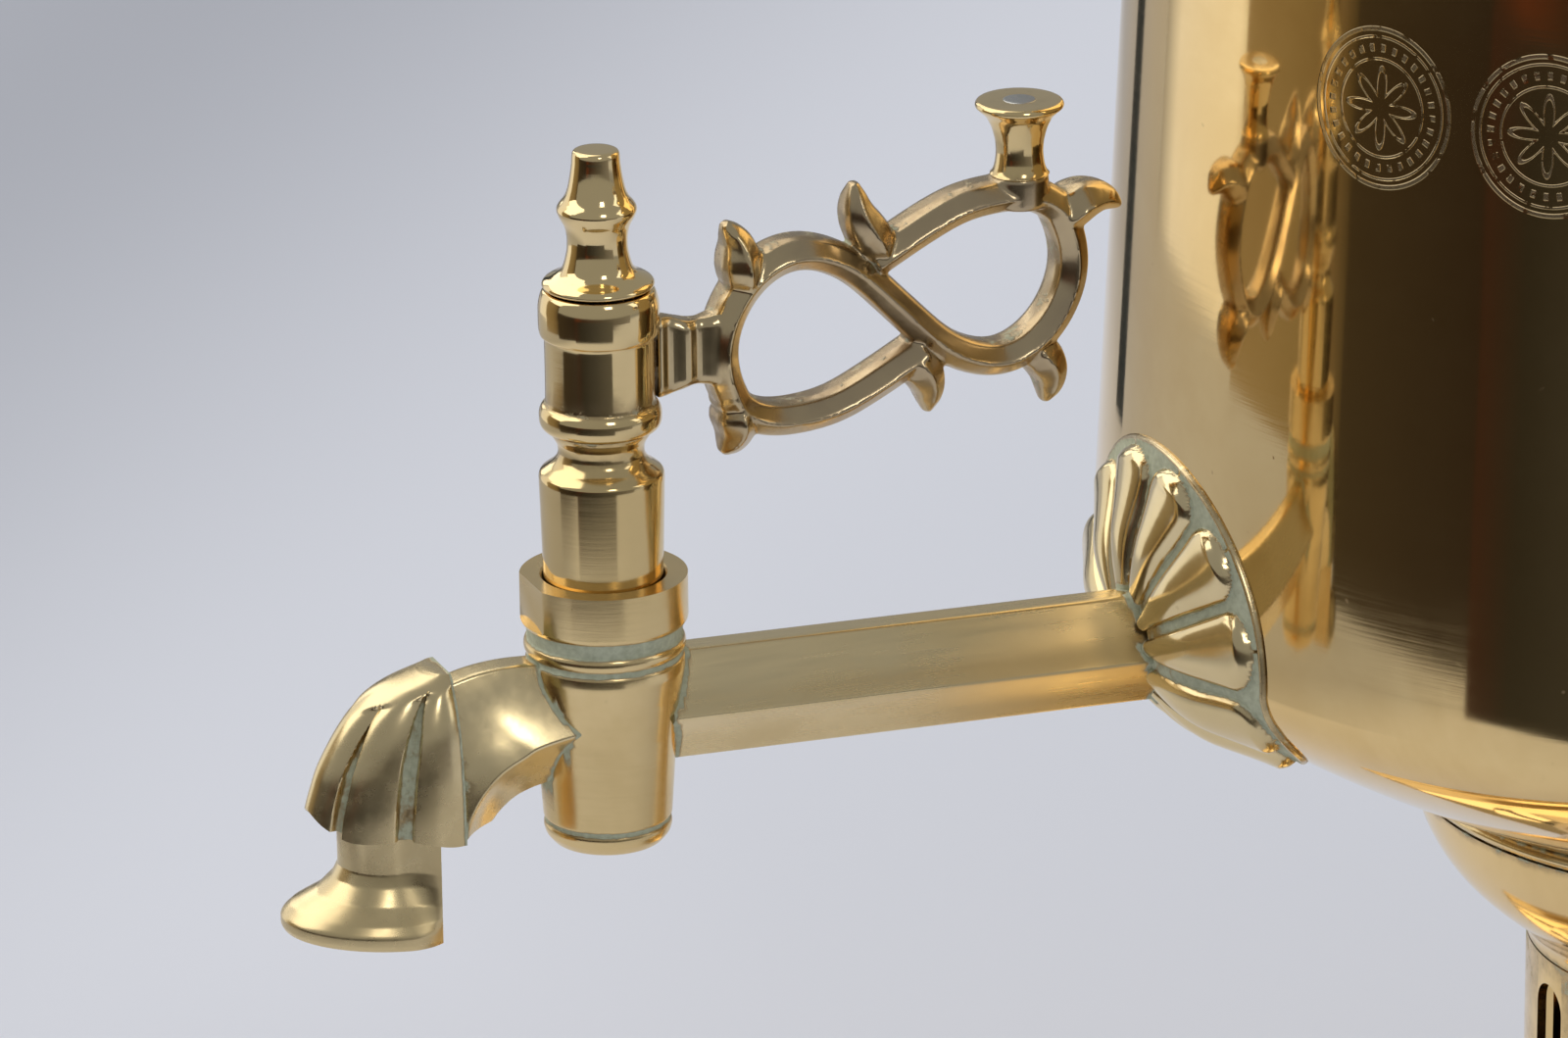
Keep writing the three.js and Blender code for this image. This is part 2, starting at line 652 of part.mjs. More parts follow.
function buildArm(side, end) {
  const wall = wallRadiusAt(gripHeight - armFootDrop);
  const out = wall + gripReach;
  const foot = end * (bossCentre - armFootInset);
  const path = new THREE.CubicBezierCurve3(
    point(side * (wall - overrun), foot, gripHeight - armFootDrop),
    point(side * (wall + gripReach * 0.5), foot, gripHeight - armFootDrop * 1.5),
    point(side * out, end * bossCentre, gripHeight - armFootDrop * 1.6),
    point(side * out, end * bossCentre, gripHeight));
  const ring = new THREE.Shape().absarc(0, 0, armRadius, 0, 2 * Math.PI);
  const arm = solidFrom(
    new THREE.ExtrudeGeometry(ring, { extrudePath: path, steps: armSteps, curveSegments: 3 }));
  const plateSeat = Math.sqrt(wall ** 2 - foot ** 2);
  const plateHeight = gripHeight - armFootDrop;
  const plate = bar(
    point(side * (plateSeat - armFootRadius / 3), foot, plateHeight),
    point(side * (plateSeat + armFootThickness + seam), foot, plateHeight), armFootRadius, gripSides);
  const boss = bar(
    point(side * out, end * (bossCentre - bossWidth / 2), gripHeight),
    point(side * out, end * (bossCentre + bossWidth / 2), gripHeight), bossRadius, gripSides);
  const faceY = end * (bossCentre - bossWidth / 2);
  const clear = block(
    point(side * out - bossRadius * 2, Math.min(faceY, 0), gripHeight - bossRadius * 2),
    point(side * out + bossRadius * 2, Math.max(faceY, 0), gripHeight + bossRadius * 2));
  const hole = bar(
    point(side * out, -rodLength, gripHeight), point(side * out, rodLength, gripHeight),
    rodRadius + seam, boreSides);
  return cut(join(cut(arm, clear), plate, boss), hole, vesselSpace(seam));
}

function buildHandles() {
  const gripShares = [
    [0.7, 0], [0.78, 0.04], [0.7, 0.08], [0.82, 0.16], [1, 0.36], [1, 0.64], [0.82, 0.84], [0.7, 0.92],
    [0.78, 0.96], [0.7, 1],
  ];
  const nutShares = [[0, 0], [1, 0], [1, 0.35], [0.75, 0.6], [0.3, 0.9], [0, 1]];
  for (const [name, side] of [['left', -1], ['right', 1]]) {
    const out = side * (wallRadiusAt(gripHeight - armFootDrop) + gripReach);
    const hole = rodRadius + seam;
    const outline = [
      [hole, 0], ...scaled(gripShares, gripRadius, gripLength, 0), [hole, gripLength],
    ];
    const alongY = solid => solidFrom(geometryFrom(solid).rotateX(-Math.PI / 2));
    const grip = alongY(turned(outline, gripSides));
    piece(`grip_${name}`, moved(grip, point(out, -gripLength / 2, gripHeight)), turnedWood);
    piece(`handle_arm_front_${name}`, buildArm(side, -1), castBrass);
    piece(`handle_arm_rear_${name}`, buildArm(side, 1), castBrass);

    const nut = alongY(turned(scaled(nutShares, nutRadius, nutLength, 0), boreSides));
    const nutStart = bossCentre + bossWidth / 2 + seam;
    const rearNut = moved(nut, point(out, nutStart, gripHeight));
    const frontNut = moved(
      solidFrom(geometryFrom(nut).rotateZ(Math.PI)), point(out, -nutStart, gripHeight));
    const rod = bar(point(out, -nutStart - overrun, gripHeight), point(out, nutStart + overrun, gripHeight),
      rodRadius, boreSides);
    piece(`grip_rod_${name}`, join(rod, rearNut, frontNut), steel);
  }
}

// Tap, modelled about its own centre and moved into place

const tapPlace = point(0, -tapReach, tapHeight);

function tapPiece(name, solid, material) {
  piece(name, moved(solid, tapPlace), material);
}

const tapVesselSpace = clearance => moved(vesselSpace(clearance), tapPlace.clone().negate());

// Pipe section: narrow flats above and below, a ridge at each side, and hollowed faces
function pipeSection(grow) {
  const flat = pipeFlat / 2 + grow * 0.6;
  const width = pipeHalfWidth + grow;
  const height = pipeHalfHeight + grow;
  const hollowX = (flat + width) / 2 - pipeHollow;
  const hollowZ = height / 2 - pipeHollow;
  return [
    [flat, height], [hollowX, hollowZ], [width, 0], [hollowX, -hollowZ], [flat, -height],
    [-flat, -height], [-hollowX, -hollowZ], [-width, 0], [-hollowX, hollowZ], [-flat, height],
  ];
}

function pipeSolid(grow, from, to) {
  const ends = [from, to].map(forward => pipeSection(grow).map(([x, z]) =>
    point(x, forward + z * Math.sin(pipeFall), pipeLift - forward * Math.tan(pipeFall) + z)));
  return loft(ends);
}

const waterwayTool = bar(
  point(0, -collarRadius - overrun, pipeLift), point(0, collarRadius + overrun, pipeLift),
  bore / 2, boreSides);

const barrelShares = [
  [1, 0], [1, 0.158], [0.955, 0.175], [0.955, 0.215], [0.91, 0.23], [0.96, 0.25], [0.96, 0.28], [0.92, 0.3],
  [0.97, 0.318], [0.906, 0.434], [0.849, 0.573], [0.81, 0.722], [0.765, 0.897], [0.725, 0.925], [0.745, 0.95],
  [0.7, 0.985], [0.57, 1],
];

function plugRadiusAt(height) {
  return plugTopRadius - (plugTop - height) * plugTaper;
}

function barrelSpace(clearance) {
  const length = collarTop + barrelDrop;
  const outline = barrelShares.map(([across, down]) => [
    across * collarRadius + clearance, collarTop - down * length,
  ]);
  return turned([[0, collarTop + overrun], [collarRadius + clearance, collarTop + overrun], ...outline,
    [0, outline.at(-1)[1]]], barrelSides);
}

function buildBarrel() {
  const length = collarTop + barrelDrop;
  const outline = barrelShares.map(([across, down]) => [across * collarRadius, collarTop - down * length]);
  const nub = collarRadius * 0.28;
  const bottom = -barrelDrop;
  const mouth = plugRadiusAt(collarTop) + runningGap;
  const boreEnd = -plugDrop - runningGap;
  const barrel = turned([
    [mouth, collarTop], ...outline, [nub, bottom], [nub, bottom - barrelNub], [0, bottom - barrelNub],
    [0, boreEnd], [plugRadiusAt(boreEnd) + runningGap, boreEnd],
  ].reverse(), barrelSides);
  const facet = block(
    point(-collarRadius, -collarRadius - overrun, collarTop - collarDepth),
    point(collarRadius, -collarFlat, collarTop + overrun));
  tapPiece('tap_barrel', cut(barrel, facet, waterwayTool), castBrass);
}

function buildPipe() {
  const hexagon = pipeSolid(0, 0, pipeLength + overrun * 2);
  const waterway = bar(
    point(0, 0, pipeLift), point(0, pipeLength * 1.2, pipeLift - pipeLength * 1.2 * Math.tan(pipeFall)),
    bore / 2, boreSides);
  tapPiece('tap_pipe', cut(hexagon, barrelSpace(seam), tapVesselSpace(seam), waterway), castBrass);
}

// Rosette: lobes that fan from the pipe and lie over the bend from wall to bowl
function rosettePoint(across, angle, rise) {
  const down = Math.max(0, -Math.cos(angle)) ** 2;
  const reach = across * THREE.MathUtils.lerp(1, rosetteDrop / rosetteRadius, down);
  const [, radius, z] = between(wallRun, runToPipe + reach * Math.cos(angle));
  const turn = reach * Math.sin(angle) / radius;
  const out = radius + seam + rise;
  return point(out * Math.sin(turn), -out * Math.cos(turn), z);
}

function buildRosette() {
  const steps = lobeCount * 4;
  const domeShares = [[0.16, 1], [0.34, 1], [0.52, 0.93], [0.7, 0.74], [0.86, 0.42], [0.95, 0.1]];
  const rings = [];
  for (const [out, up] of domeShares) {
    const ring = [];
    for (let i = 0; i < steps; i++) {
      const lobe = Math.abs(Math.sin(Math.PI * lobeCount * i / steps));
      const swell = lobeRise * Math.sin(Math.PI * Math.min(out / 0.95, 1) ** 1.6) * (lobe - 0.5);
      const angle = 2 * Math.PI * i / steps;
      const rise = rosetteRim + up * (rosetteRise - rosetteRim) + swell;
      ring.push(rosettePoint(out * rosetteRadius, angle, rise));
    }
    rings.push(ring);
  }
  const plain = (out, rise) => {
    const ring = [];
    for (let i = 0; i < steps; i++) {
      ring.push(rosettePoint(out * rosetteRadius, 2 * Math.PI * i / steps, rise));
    }
    return ring;
  };
  rings.push(plain(0.97, rosetteRim), plain(1, rosetteRim), plain(1, -overrun), plain(0.5, -overrun));
  const hole = moved(pipeSolid(seam, 0, pipeLength + overrun * 2), tapPlace);
  piece('tap_rosette', cut(loft(rings), hole, vesselSpace(seam)), castBrass);
}

// Strainer: a pierced cap on the inside of the wall, over the waterway
function buildStrainer() {
  const inner = Math.sqrt(wallRadiusAt(wallCentre.z) ** 2 - strainerRadius ** 2) - wallThickness;
  const domeShares = [[1, -1], [1, 0], [0.92, 0.3], [0.7, 0.75], [0.4, 1], [0, 1]];
  const outside = scaled(domeShares, strainerRadius, strainerRise, 0);
  const inside = offsetOutline(outside, strainerThickness).reverse();
  inside[0] = [0, strainerRise - strainerThickness];
  inside[inside.length - 1] = [strainerRadius - strainerThickness, -strainerRise];
  const cap = turned([...outside, ...inside], gripSides);
  const holes = [];
  for (let i = 0; i < 6; i++) {
    const angle = i * Math.PI / 3;
    const out = strainerRadius * 0.5;
    const x = out * Math.cos(angle);
    const y = out * Math.sin(angle);
    holes.push(bar(point(x, y, -overrun), point(x, y, strainerRise + overrun), strainerHole / 2, 6));
  }
  const facing = solidFrom(geometryFrom(cut(cap, ...holes)).rotateX(-Math.PI / 2));
  const placed = moved(facing, point(0, -inner, wallCentre.z - pipeLift));
  piece('tap_strainer', placed.intersect(waterSpace(seam)), tinned);
}

// Spout: an elbow of the pipe's section, given by the lines of its outer edge, ridge and inner edge

const spoutShares = {
  outer: [
    [0.1, 0.55], [0.31, 0.6], [0.49, 0.61], [0.66, 0.56], [0.84, 0.42], [1, 0.1], [1.1, -0.3], [1.12, -0.62],
  ],
  ridge: [
    [0.06, 0.05], [0.2, 0.04], [0.37, 0], [0.5, -0.08], [0.61, -0.22], [0.69, -0.42], [0.74, -0.66],
    [0.77, -0.9],
  ],
  inner: [
    [0.06, -0.44], [0.2, -0.48], [0.31, -0.52], [0.42, -0.57], [0.53, -0.68], [0.61, -0.81], [0.66, -0.93],
    [0.69, -1.04],
  ],
};

function alongSpout(shares) {
  const points = shares.map(([out, up]) => point(0, -out * spoutReach, up * spoutDrop));
  return new THREE.CatmullRomCurve3(points).getSpacedPoints(spoutSteps);
}

function buildElbow() {
  const outer = alongSpout(spoutShares.outer);
  const ridge = alongSpout(spoutShares.ridge);
  const inner = alongSpout(spoutShares.inner);
  const rings = outer.map((top, i) => [
    point(pipeFlat / 2, top.y, top.z), point(pipeHalfWidth, ridge[i].y, ridge[i].z),
    point(pipeFlat / 2, inner[i].y, inner[i].z), point(-pipeFlat / 2, inner[i].y, inner[i].z),
    point(-pipeHalfWidth, ridge[i].y, ridge[i].z), point(-pipeFlat / 2, top.y, top.z),
  ]);
  const way = new THREE.QuadraticBezierCurve3(
    point(0, 0, pipeLift), point(0, -spoutReach * 0.85, pipeLift), point(0, -spoutReach, -spoutDrop * 1.3));
  const round = new THREE.Shape().absarc(0, 0, bore / 2, 0, 2 * Math.PI);
  const waterway = solidFrom(
    new THREE.ExtrudeGeometry(round, { extrudePath: way, steps: spoutSteps, curveSegments: 3 }));
  const nozzleRoom = block(
    point(-shellHalfWidth * 2, -spoutReach * 2, -spoutDrop * 2),
    point(shellHalfWidth * 2, -spoutReach + nozzleCut + seam, -shellBottom));
  return cut(loft(rings), barrelSpace(seam), waterway, nozzleRoom);
}

// Shell: a fluted cap over the elbow's outer bend, flat at the back. Each row of its table is
// [height share, how far it reaches forward, half its width].
const hoodShare = 0.9; // the flutes end below a plain hood
const shellShares = [
  [0, 0.9, 0.97], [0.1, 0.98, 0.99], [0.26, 1.04, 1], [0.45, 1.02, 0.97], [0.68, 0.81, 0.75],
  [0.84, 0.53, 0.52], [0.94, 0.28, 0.36], [1, 0.1, 0.28],
];

function shellRing([up, reach, width]) {
  const height = THREE.MathUtils.lerp(-shellBottom, shellTop, up);
  const steps = fluteCount * 8;
  const depth = up < hoodShare ? fluteDepth * Math.sqrt(width) : 0;
  const ring = [];
  for (let i = 0; i <= steps; i++) {
    const angle = Math.PI * i / steps;
    const flute = -depth * (1 - Math.abs(Math.cos(fluteCount * angle))) ** 2;
    const side = (width * shellHalfWidth + flute) * Math.cos(angle);
    const forward = Math.max((reach * shellReach + flute) * Math.sin(angle), 0);
    ring.push(point(side, -shellStart - forward, height + shellSlant * (1 - up) * Math.sin(angle)));
  }
  return ring;
}

function buildShell() {
  return cut(loft(shellShares.map(shellRing)), elbowSpace(seam));
}

// The elbow's outside, grown by a clearance and carried on past its lower end
function elbowSpace(clearance) {
  const outer = alongSpout(spoutShares.outer);
  const ridge = alongSpout(spoutShares.ridge);
  const inner = alongSpout(spoutShares.inner);
  const rings = outer.map((top, i) => {
    const out = top.clone().sub(ridge[i]).normalize().multiplyScalar(clearance);
    const flat = pipeFlat / 2 + clearance;
    const width = pipeHalfWidth + clearance;
    const [a, b, c] = [top.clone().add(out), ridge[i], inner[i].clone().sub(out)];
    return [
      point(flat, a.y, a.z), point(width, b.y, b.z), point(flat, c.y, c.z),
      point(-flat, c.y, c.z), point(-width, b.y, b.z), point(-flat, a.y, a.z),
    ];
  });
  const way = outer.at(-1).clone().sub(outer.at(-2)).normalize().multiplyScalar(overrun * 2);
  rings.push(rings.at(-1).map(corner => corner.clone().add(way)));
  return loft(rings);
}

// Nozzle: a bell that flares to a broad lip, cut flat on the side that faces the vessel
const nozzleTop = -shellBottom - seam;
const flareShares = [
  [0, 0], [0.28, 0], [0.4, 0.1], [0.56, 0.37], [0.71, 0.84], [0.79, 0.97], [0.86, 1], [1, 0.96],
];

function nozzleRing(down, flare, inset) {
  const length = THREE.MathUtils.lerp(nozzleNeckLength, nozzleLipLength, flare) - inset;
  const width = THREE.MathUtils.lerp(nozzleNeckWidth, nozzleLipWidth, flare) - inset;
  const ring = [];
  for (let i = 0; i < nozzleSides; i++) {
    const angle = 2 * Math.PI * i / nozzleSides;
    const along = Math.cos(angle);
    const reach = along < 0 ? Math.max(length, nozzleBack - inset) : length;
    ring.push(point(width * Math.sin(angle), -spoutReach - reach * along, nozzleTop - down * nozzleHeight));
  }
  return ring;
}

function buildNozzle() {
  const outside = loft(flareShares.map(([down, flare]) => nozzleRing(down, flare, 0)));
  const insideShares = [[-0.1, 0], [0.4, 0], [0.6, 0.37], [0.75, 0.84], [0.86, 0.95], [1.1, 0.95]];
  const inside = loft(insideShares.map(([down, flare]) => nozzleRing(down, flare, nozzleWall)));
  const low = nozzleTop - nozzleHeight - overrun;
  const back = block(
    point(-shellHalfWidth * 2, -spoutReach + nozzleCut, low),
    point(shellHalfWidth * 2, 0, nozzleTop + overrun));
  const backInside = block(
    point(-shellHalfWidth * 2, -spoutReach + nozzleCut - nozzleWall, low),
    point(shellHalfWidth * 2, 0, nozzleTop + overrun));
  return cut(outside, cut(inside, backInside), back);
}

function buildSpout() {
  tapPiece('spout_elbow', buildElbow(), castBrass);
  tapPiece('spout_nozzle', buildNozzle(), castBrass);
  tapPiece('spout_shell', buildShell(), castBrass);
}

// Key: plug, sleeve and finial, one above the other on the plug's stud

const sleeveBase = plugTop + neckHeight + seam;
const sleeveTop = sleeveBase + sleeveHeight;
const sleeveWaistShare = 0.893;
const finialBase = sleeveTop + seam;

function buildKeyStem() {
  const neckShares = [[1, 0], [0.96, 0.1], [0.78, 0.28], [0.69, 0.55], [0.72, 0.8], [0.82, 1]];
  const plug = turned([
    [0, -plugDrop], [plugRadiusAt(-plugDrop), -plugDrop],
    ...scaled(neckShares, plugTopRadius, neckHeight, plugTop), [studRadius, plugTop + neckHeight],
    [studRadius, finialBase + overrun], [0, finialBase + overrun],
  ], keySides);
  const port = bar(
    point(-collarRadius, 0, pipeLift), point(collarRadius, 0, pipeLift), bore / 2, boreSides);
  tapPiece('key_plug', cut(plug, port), castBrass);

  const waist = sleeveWaistShare;
  const sleeveShares = [
    [0.92, 0], [1, 0.04], [1, 0.15], [0.95, 0.19], [waist, 0.2], [waist, 0.66], [0.95, 0.67], [0.98, 0.72],
    [0.98, 0.9], [0.93, 0.98], [0.9, 1],
  ];
  const studHole = studRadius + seam;
  const sleeveOutline = scaled(sleeveShares, sleeveRadius, sleeveHeight, sleeveBase);
  tapPiece('key_sleeve', turned([
    [studHole, sleeveBase], ...sleeveOutline, [studHole, sleeveTop],
  ], keySides), castBrass);

  const finialShares = [
    [1, 0], [0.85, 0.035], [0.67, 0.08], [0.58, 0.15], [0.53, 0.27], [0.53, 0.36], [0.6, 0.46], [0.7, 0.54],
    [0.7, 0.58], [0.58, 0.64], [0.5, 0.7], [0.45, 0.82], [0.43, 0.92], [0.42, 0.97], [0.36, 1], [0, 1],
  ];
  const hole = studRadius + seam;
  tapPiece('key_finial', turned([
    [0, finialBase + overrun + seam], [hole, finialBase + overrun + seam], [hole, finialBase],
    ...scaled(finialShares, finialRadius, finialHeight, finialBase),
  ], keySides), castBrass);
}

// Scroll: one S-shaped bar and two bars that close its loops, with six curled leaves.
// The second half of each table is the first half turned about the middle.

const scrollShares = {
  sweep: [[-0.9, -0.8], [-0.975, -0.5], [-0.99, -0.1], [-0.86, 0.41], [-0.56, 0.7], [-0.24, 0.47], [0, 0]],
  closing: [[-0.93, -0.72], [-0.83, -0.93], [-0.58, -0.99], [-0.34, -0.93], [-0.11, -0.73], [0.14, -0.48]],
};
const leafShares = [
  [[-0.9, 0.42], [-0.885, 0.8], [-0.955, 1.07]],
  [[-0.92, -0.75], [-0.91, -1.04], [-0.985, -1.26]],
  [[-0.1, 0.66], [-0.22, 0.94], [-0.235, 1.31]],
  [[0.07, -0.58], [0.17, -0.82], [0.17, -1.13]],
  [[0.78, -0.66], [0.86, -0.9], [0.835, -1.2]],
  [[0.94, 0.7], [1.12, 0.86], [1.27, 0.72]],
];

function scrollPoint([along, up]) {
  return point(0, scrollReach + along * scrollHalfLength, scrollHeight + up * scrollHalfHeight);
}

function scrollBar(points, steps) {
  const section = new THREE.Shape();
  section.moveTo(scrollBarDepth, 0);
  [[0.62, 0.86], [-0.62, 0.86], [-1, 0], [-0.62, -0.86], [0.62, -0.86]].forEach(([x, y]) =>
    section.lineTo(x * scrollBarDepth, y * scrollBarWidth));
  section.closePath();
  const path = new THREE.CatmullRomCurve3(points);
  return solidFrom(new THREE.ExtrudeGeometry(section, { extrudePath: path, steps }));
}

function leaf(points) {
  const path = new THREE.QuadraticBezierCurve3(...points);
  const sizeShares = [1.5, 1.3, 0.85, 0.25];
  const rings = sizeShares.map((size, i) => {
    const share = i / (sizeShares.length - 1);
    const centre = path.getPoint(share);
    const way = path.getTangent(share);
    const side = point(0, -way.z, way.y);
    return [[1, 0], [0.5, 0.9], [-0.5, 0.9], [-1, 0], [-0.5, -0.9], [0.5, -0.9]].map(([x, n]) =>
      centre.clone().add(point(x * size * scrollBarDepth * 0.9, 0, 0))
        .add(side.clone().multiplyScalar(n * size * scrollBarWidth)));
  });
  return loft(rings);
}

function buildScroll() {
  const half = scrollShares.sweep.map(scrollPoint);
  const turnedHalf = scrollShares.sweep.slice(0, -1).reverse().map(([a, u]) => scrollPoint([-a, -u]));
  const sweep = scrollBar([...half, ...turnedHalf], 26);
  const lower = scrollBar(scrollShares.closing.map(scrollPoint), 9);
  const upper = scrollBar(scrollShares.closing.map(([a, u]) => scrollPoint([-a, -u])), 9);
  const leaves = leafShares.map(points => leaf(points.map(scrollPoint)));

  // The web is scalloped above and below, and reaches from the sleeve to the scroll's first bar.
  const end = scrollReach - scrollHalfLength * 0.96;
  const middle = scrollHeight - scrollHalfHeight * 0.17;
  const outline = new THREE.Shape();
  const top = webHeight / 2;
  const scallop = webHeight * 0.12;
  outline.moveTo(0, -top);
  outline.lineTo(end * 0.45, -top);
  outline.quadraticCurveTo(end * 0.72, -top + scallop * 2, end, -top + scallop);
  outline.lineTo(end, top - scallop);
  outline.quadraticCurveTo(end * 0.72, top - scallop * 2, end * 0.45, top);
  outline.lineTo(0, top);
  outline.closePath();
  const flatWeb = new THREE.ExtrudeGeometry(
    outline, { depth: webDepth, bevelEnabled: false, curveSegments: 5 });
  flatWeb.rotateX(Math.PI / 2).rotateZ(Math.PI / 2);
  const web = solidFrom(flatWeb.translate(-webDepth / 2, 0, middle));

  const bossLow = scrollHeight + scrollHalfHeight * 0.85;
  const bossTop = thumbTop - thumbHeight - seam;
  const boss = bar(point(0, thumbReach, bossLow), point(0, thumbReach, bossTop), thumbBoss, boreSides);
  const room = (from, to, radius) => bar(point(0, 0, from), point(0, 0, to), radius + seam, keySides);
  const sleeveRoom = room(sleeveBase - overrun, sleeveTop + overrun, sleeveRadius * sleeveWaistShare);
  const ringRoom = room(sleeveBase - overrun, sleeveBase + sleeveHeight * 0.2 + seam, sleeveRadius);
  const topRoom = room(sleeveBase + sleeveHeight * 0.66 - seam, sleeveTop + overrun, sleeveRadius);
  const scroll = join(sweep, lower, upper, ...leaves, web, boss);
  tapPiece('key_scroll', cut(scroll, sleeveRoom, ringRoom, topRoom), castBrass);

  const base = thumbTop - thumbHeight;
  const thumbShares = [
    [0, 0], [0.62, 0], [0.56, 0.16], [0.53, 0.32], [0.56, 0.52], [0.72, 0.76], [0.95, 0.88], [1, 0.93],
    [0.97, 1], [0, 1],
  ];
  const knob = turned(scaled(thumbShares, thumbRadius, thumbHeight, base), knobSides);
  tapPiece('key_thumb_knob', moved(knob, point(0, thumbReach, 0)), castBrass);
}

buildVessel();
buildFireTube();
buildWaist();
buildBase();
buildRim();
buildLidFittings();
buildCrown();
buildHandles();
buildBarrel();
buildPipe();
buildRosette();
buildStrainer();
buildSpout();
buildKeyStem();
buildScroll();

// The origin lies on the floor, under the middle of the whole outline.
const bounds = new THREE.Box3().setFromObject(samovar);
const middle = bounds.getCenter(new THREE.Vector3());
samovar.position.set(-middle.x, -middle.y, -bounds.min.z);

export default samovar;
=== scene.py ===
"""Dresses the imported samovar: fine brass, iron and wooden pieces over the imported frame, plain studio
light and a camera at the photograph's angle. Lengths are in metres. A table whose name ends in shares
holds shares of the sizes named beside it."""

import json
import math

import bmesh
import bpy
from mathutils import Matrix, Vector
from mathutils.bvhtree import BVHTree


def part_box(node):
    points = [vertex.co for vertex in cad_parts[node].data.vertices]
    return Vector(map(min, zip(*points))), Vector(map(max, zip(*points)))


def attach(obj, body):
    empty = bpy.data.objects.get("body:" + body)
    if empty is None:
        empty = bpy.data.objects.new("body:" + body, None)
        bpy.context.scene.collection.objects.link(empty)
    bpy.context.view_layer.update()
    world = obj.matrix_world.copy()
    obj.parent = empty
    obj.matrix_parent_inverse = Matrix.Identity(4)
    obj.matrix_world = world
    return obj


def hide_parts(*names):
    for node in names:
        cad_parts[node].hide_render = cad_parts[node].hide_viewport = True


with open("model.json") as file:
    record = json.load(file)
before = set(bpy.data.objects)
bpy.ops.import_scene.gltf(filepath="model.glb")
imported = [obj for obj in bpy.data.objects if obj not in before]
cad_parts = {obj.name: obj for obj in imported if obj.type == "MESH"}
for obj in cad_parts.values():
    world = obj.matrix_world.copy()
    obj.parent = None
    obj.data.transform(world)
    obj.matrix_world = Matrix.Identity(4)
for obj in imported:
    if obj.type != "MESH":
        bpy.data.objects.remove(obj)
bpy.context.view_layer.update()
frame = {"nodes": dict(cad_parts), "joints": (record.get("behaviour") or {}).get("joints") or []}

MM = 0.001
ROUND = 2 * math.pi

# Places that the frame gives
JOINTS = {joint["name"]: joint for joint in frame["joints"]}
TAP = Vector(JOINTS["tap_key_turn"]["pos_m"])


def corners(node):
    """The lowest and the highest corner of a node's box."""
    low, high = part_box(node)
    return Vector(low), Vector(high)


def middle(node):
    """The middle of a node's box."""
    low, high = corners(node)
    return (low + high) / 2


def half_width(node):
    """Half a node's width from front to back."""
    low, high = corners(node)
    return (high.y - low.y) / 2


AXIS = Vector((0, middle("rim_flange").y, 0))
TAP_AXIS = Vector((TAP.x, TAP.y, 0))

# The camera, fitted to the photograph: the middle of the tap lies at a known pixel and distance.
PHOTO_WIDTH, PHOTO_HEIGHT = 1600, 1059
CAMERA_AZIMUTH, CAMERA_ELEVATION, CAMERA_ROLL = math.radians(68.2), math.radians(19.8), math.radians(-0.65)
FOCAL_PIXELS = 9000
TAP_PIXEL = (618.5, 728.4)
TAP_DEPTH = 1.2857
SENSOR_WIDTH_MM = 36

# Vessel, neck, base, lid and crown
BELT_DROP = 0.6 * MM
BOWL_SHARES = [(0, 0), (0.643, 0.447), (1, 0.75), (1, 1)]
SHEET = 1.5 * MM
SEAT_GAP = 0.3 * MM
BOWL_LEDGE = 8.4 * MM
WALL_LEAN = math.radians(2.86)
VESSEL_SIDES = 288
NECK_RADIUS = 33.2 * MM
VENTS = 8
VENT_WIDTH = 8 * MM
VENT_HEIGHT = 24 * MM
VENT_DROP = 4 * MM
BASE_CORNER = 3 * MM
BASE_LEDGE = 30 * MM
FLUE_RADIUS = 33 * MM
RIM_LEDGE = 7 * MM
SKIRT_DEPTH = 6 * MM
SKIRT_INSET = 7.5 * MM
LID_PLAY = 2.2 * MM
LID_EDGE = 9 * MM
CROWN_WALL = 1.8 * MM
CROWN_OVERHANG = 1.7 * MM
CROWN_WINDOWS = 10
WINDOW_WIDTH = 6 * MM
WINDOW_HEIGHT = 9 * MM

# Side handles
ARM_GIRTH = 4.6 * MM
ARM_SPREAD = 9 * MM
ARM_DROP = 14 * MM
ARM_BELLY = 18 * MM
BOSS_RADIUS = 8 * MM
BOSS_LENGTH = 9 * MM
ARM_NUT = 8 * MM

# Tap
PIPE_HALF_WIDTH = 8.35 * MM
PIPE_HALF_HEIGHT = 8.4 * MM
PIPE_FLAT = 4.3 * MM
PIPE_HOLLOW = 0.55 * MM
PIPE_EDGE = 0.5 * MM
PIPE_LIFT = 1 * MM
PIPE_FALL = math.radians(1.9)
PIPE_START = 9.7 * MM
TAP_REACH = 187.8 * MM
BARREL_LENGTH = 41.7 * MM
COLLAR_FLAT = 11.3 * MM
COLLAR_DEPTH = 6.6 * MM
PLUG_MOUTH = 8.75 * MM
PLUG_GAP = 0.35 * MM
ROSETTE_RADIUS = 31.2 * MM
ROSETTE_DROP = 27 * MM
ROSETTE_EDGE = 0.55 * MM
ROSETTE_RISE = 3.6 * MM
PETAL_RISE = 2.3 * MM
PETALS = 12
SPOUT_REACH = 35 * MM
SPOUT_DROP = 17 * MM
SHELL_START = 25.2 * MM
SHELL_REACH = 19 * MM
SHELL_HALF_WIDTH = 9.9 * MM
SHELL_TOP = 11.4 * MM
SHELL_BOTTOM = 13.2 * MM
SHELL_RISE = 1.7 * MM
SHELL_ARCH = 4.0 * MM
FLUTE_WIDTH = 2.0 * MM
FLUTE_DEPTH = 1.1 * MM
LOBE_RISE = 0.9 * MM
NOZZLE_NECK = 6.6 * MM
NOZZLE_REACH = 8.8 * MM
NOZZLE_SPREAD = 4.85 * MM
NOZZLE_CUT = 5.8 * MM
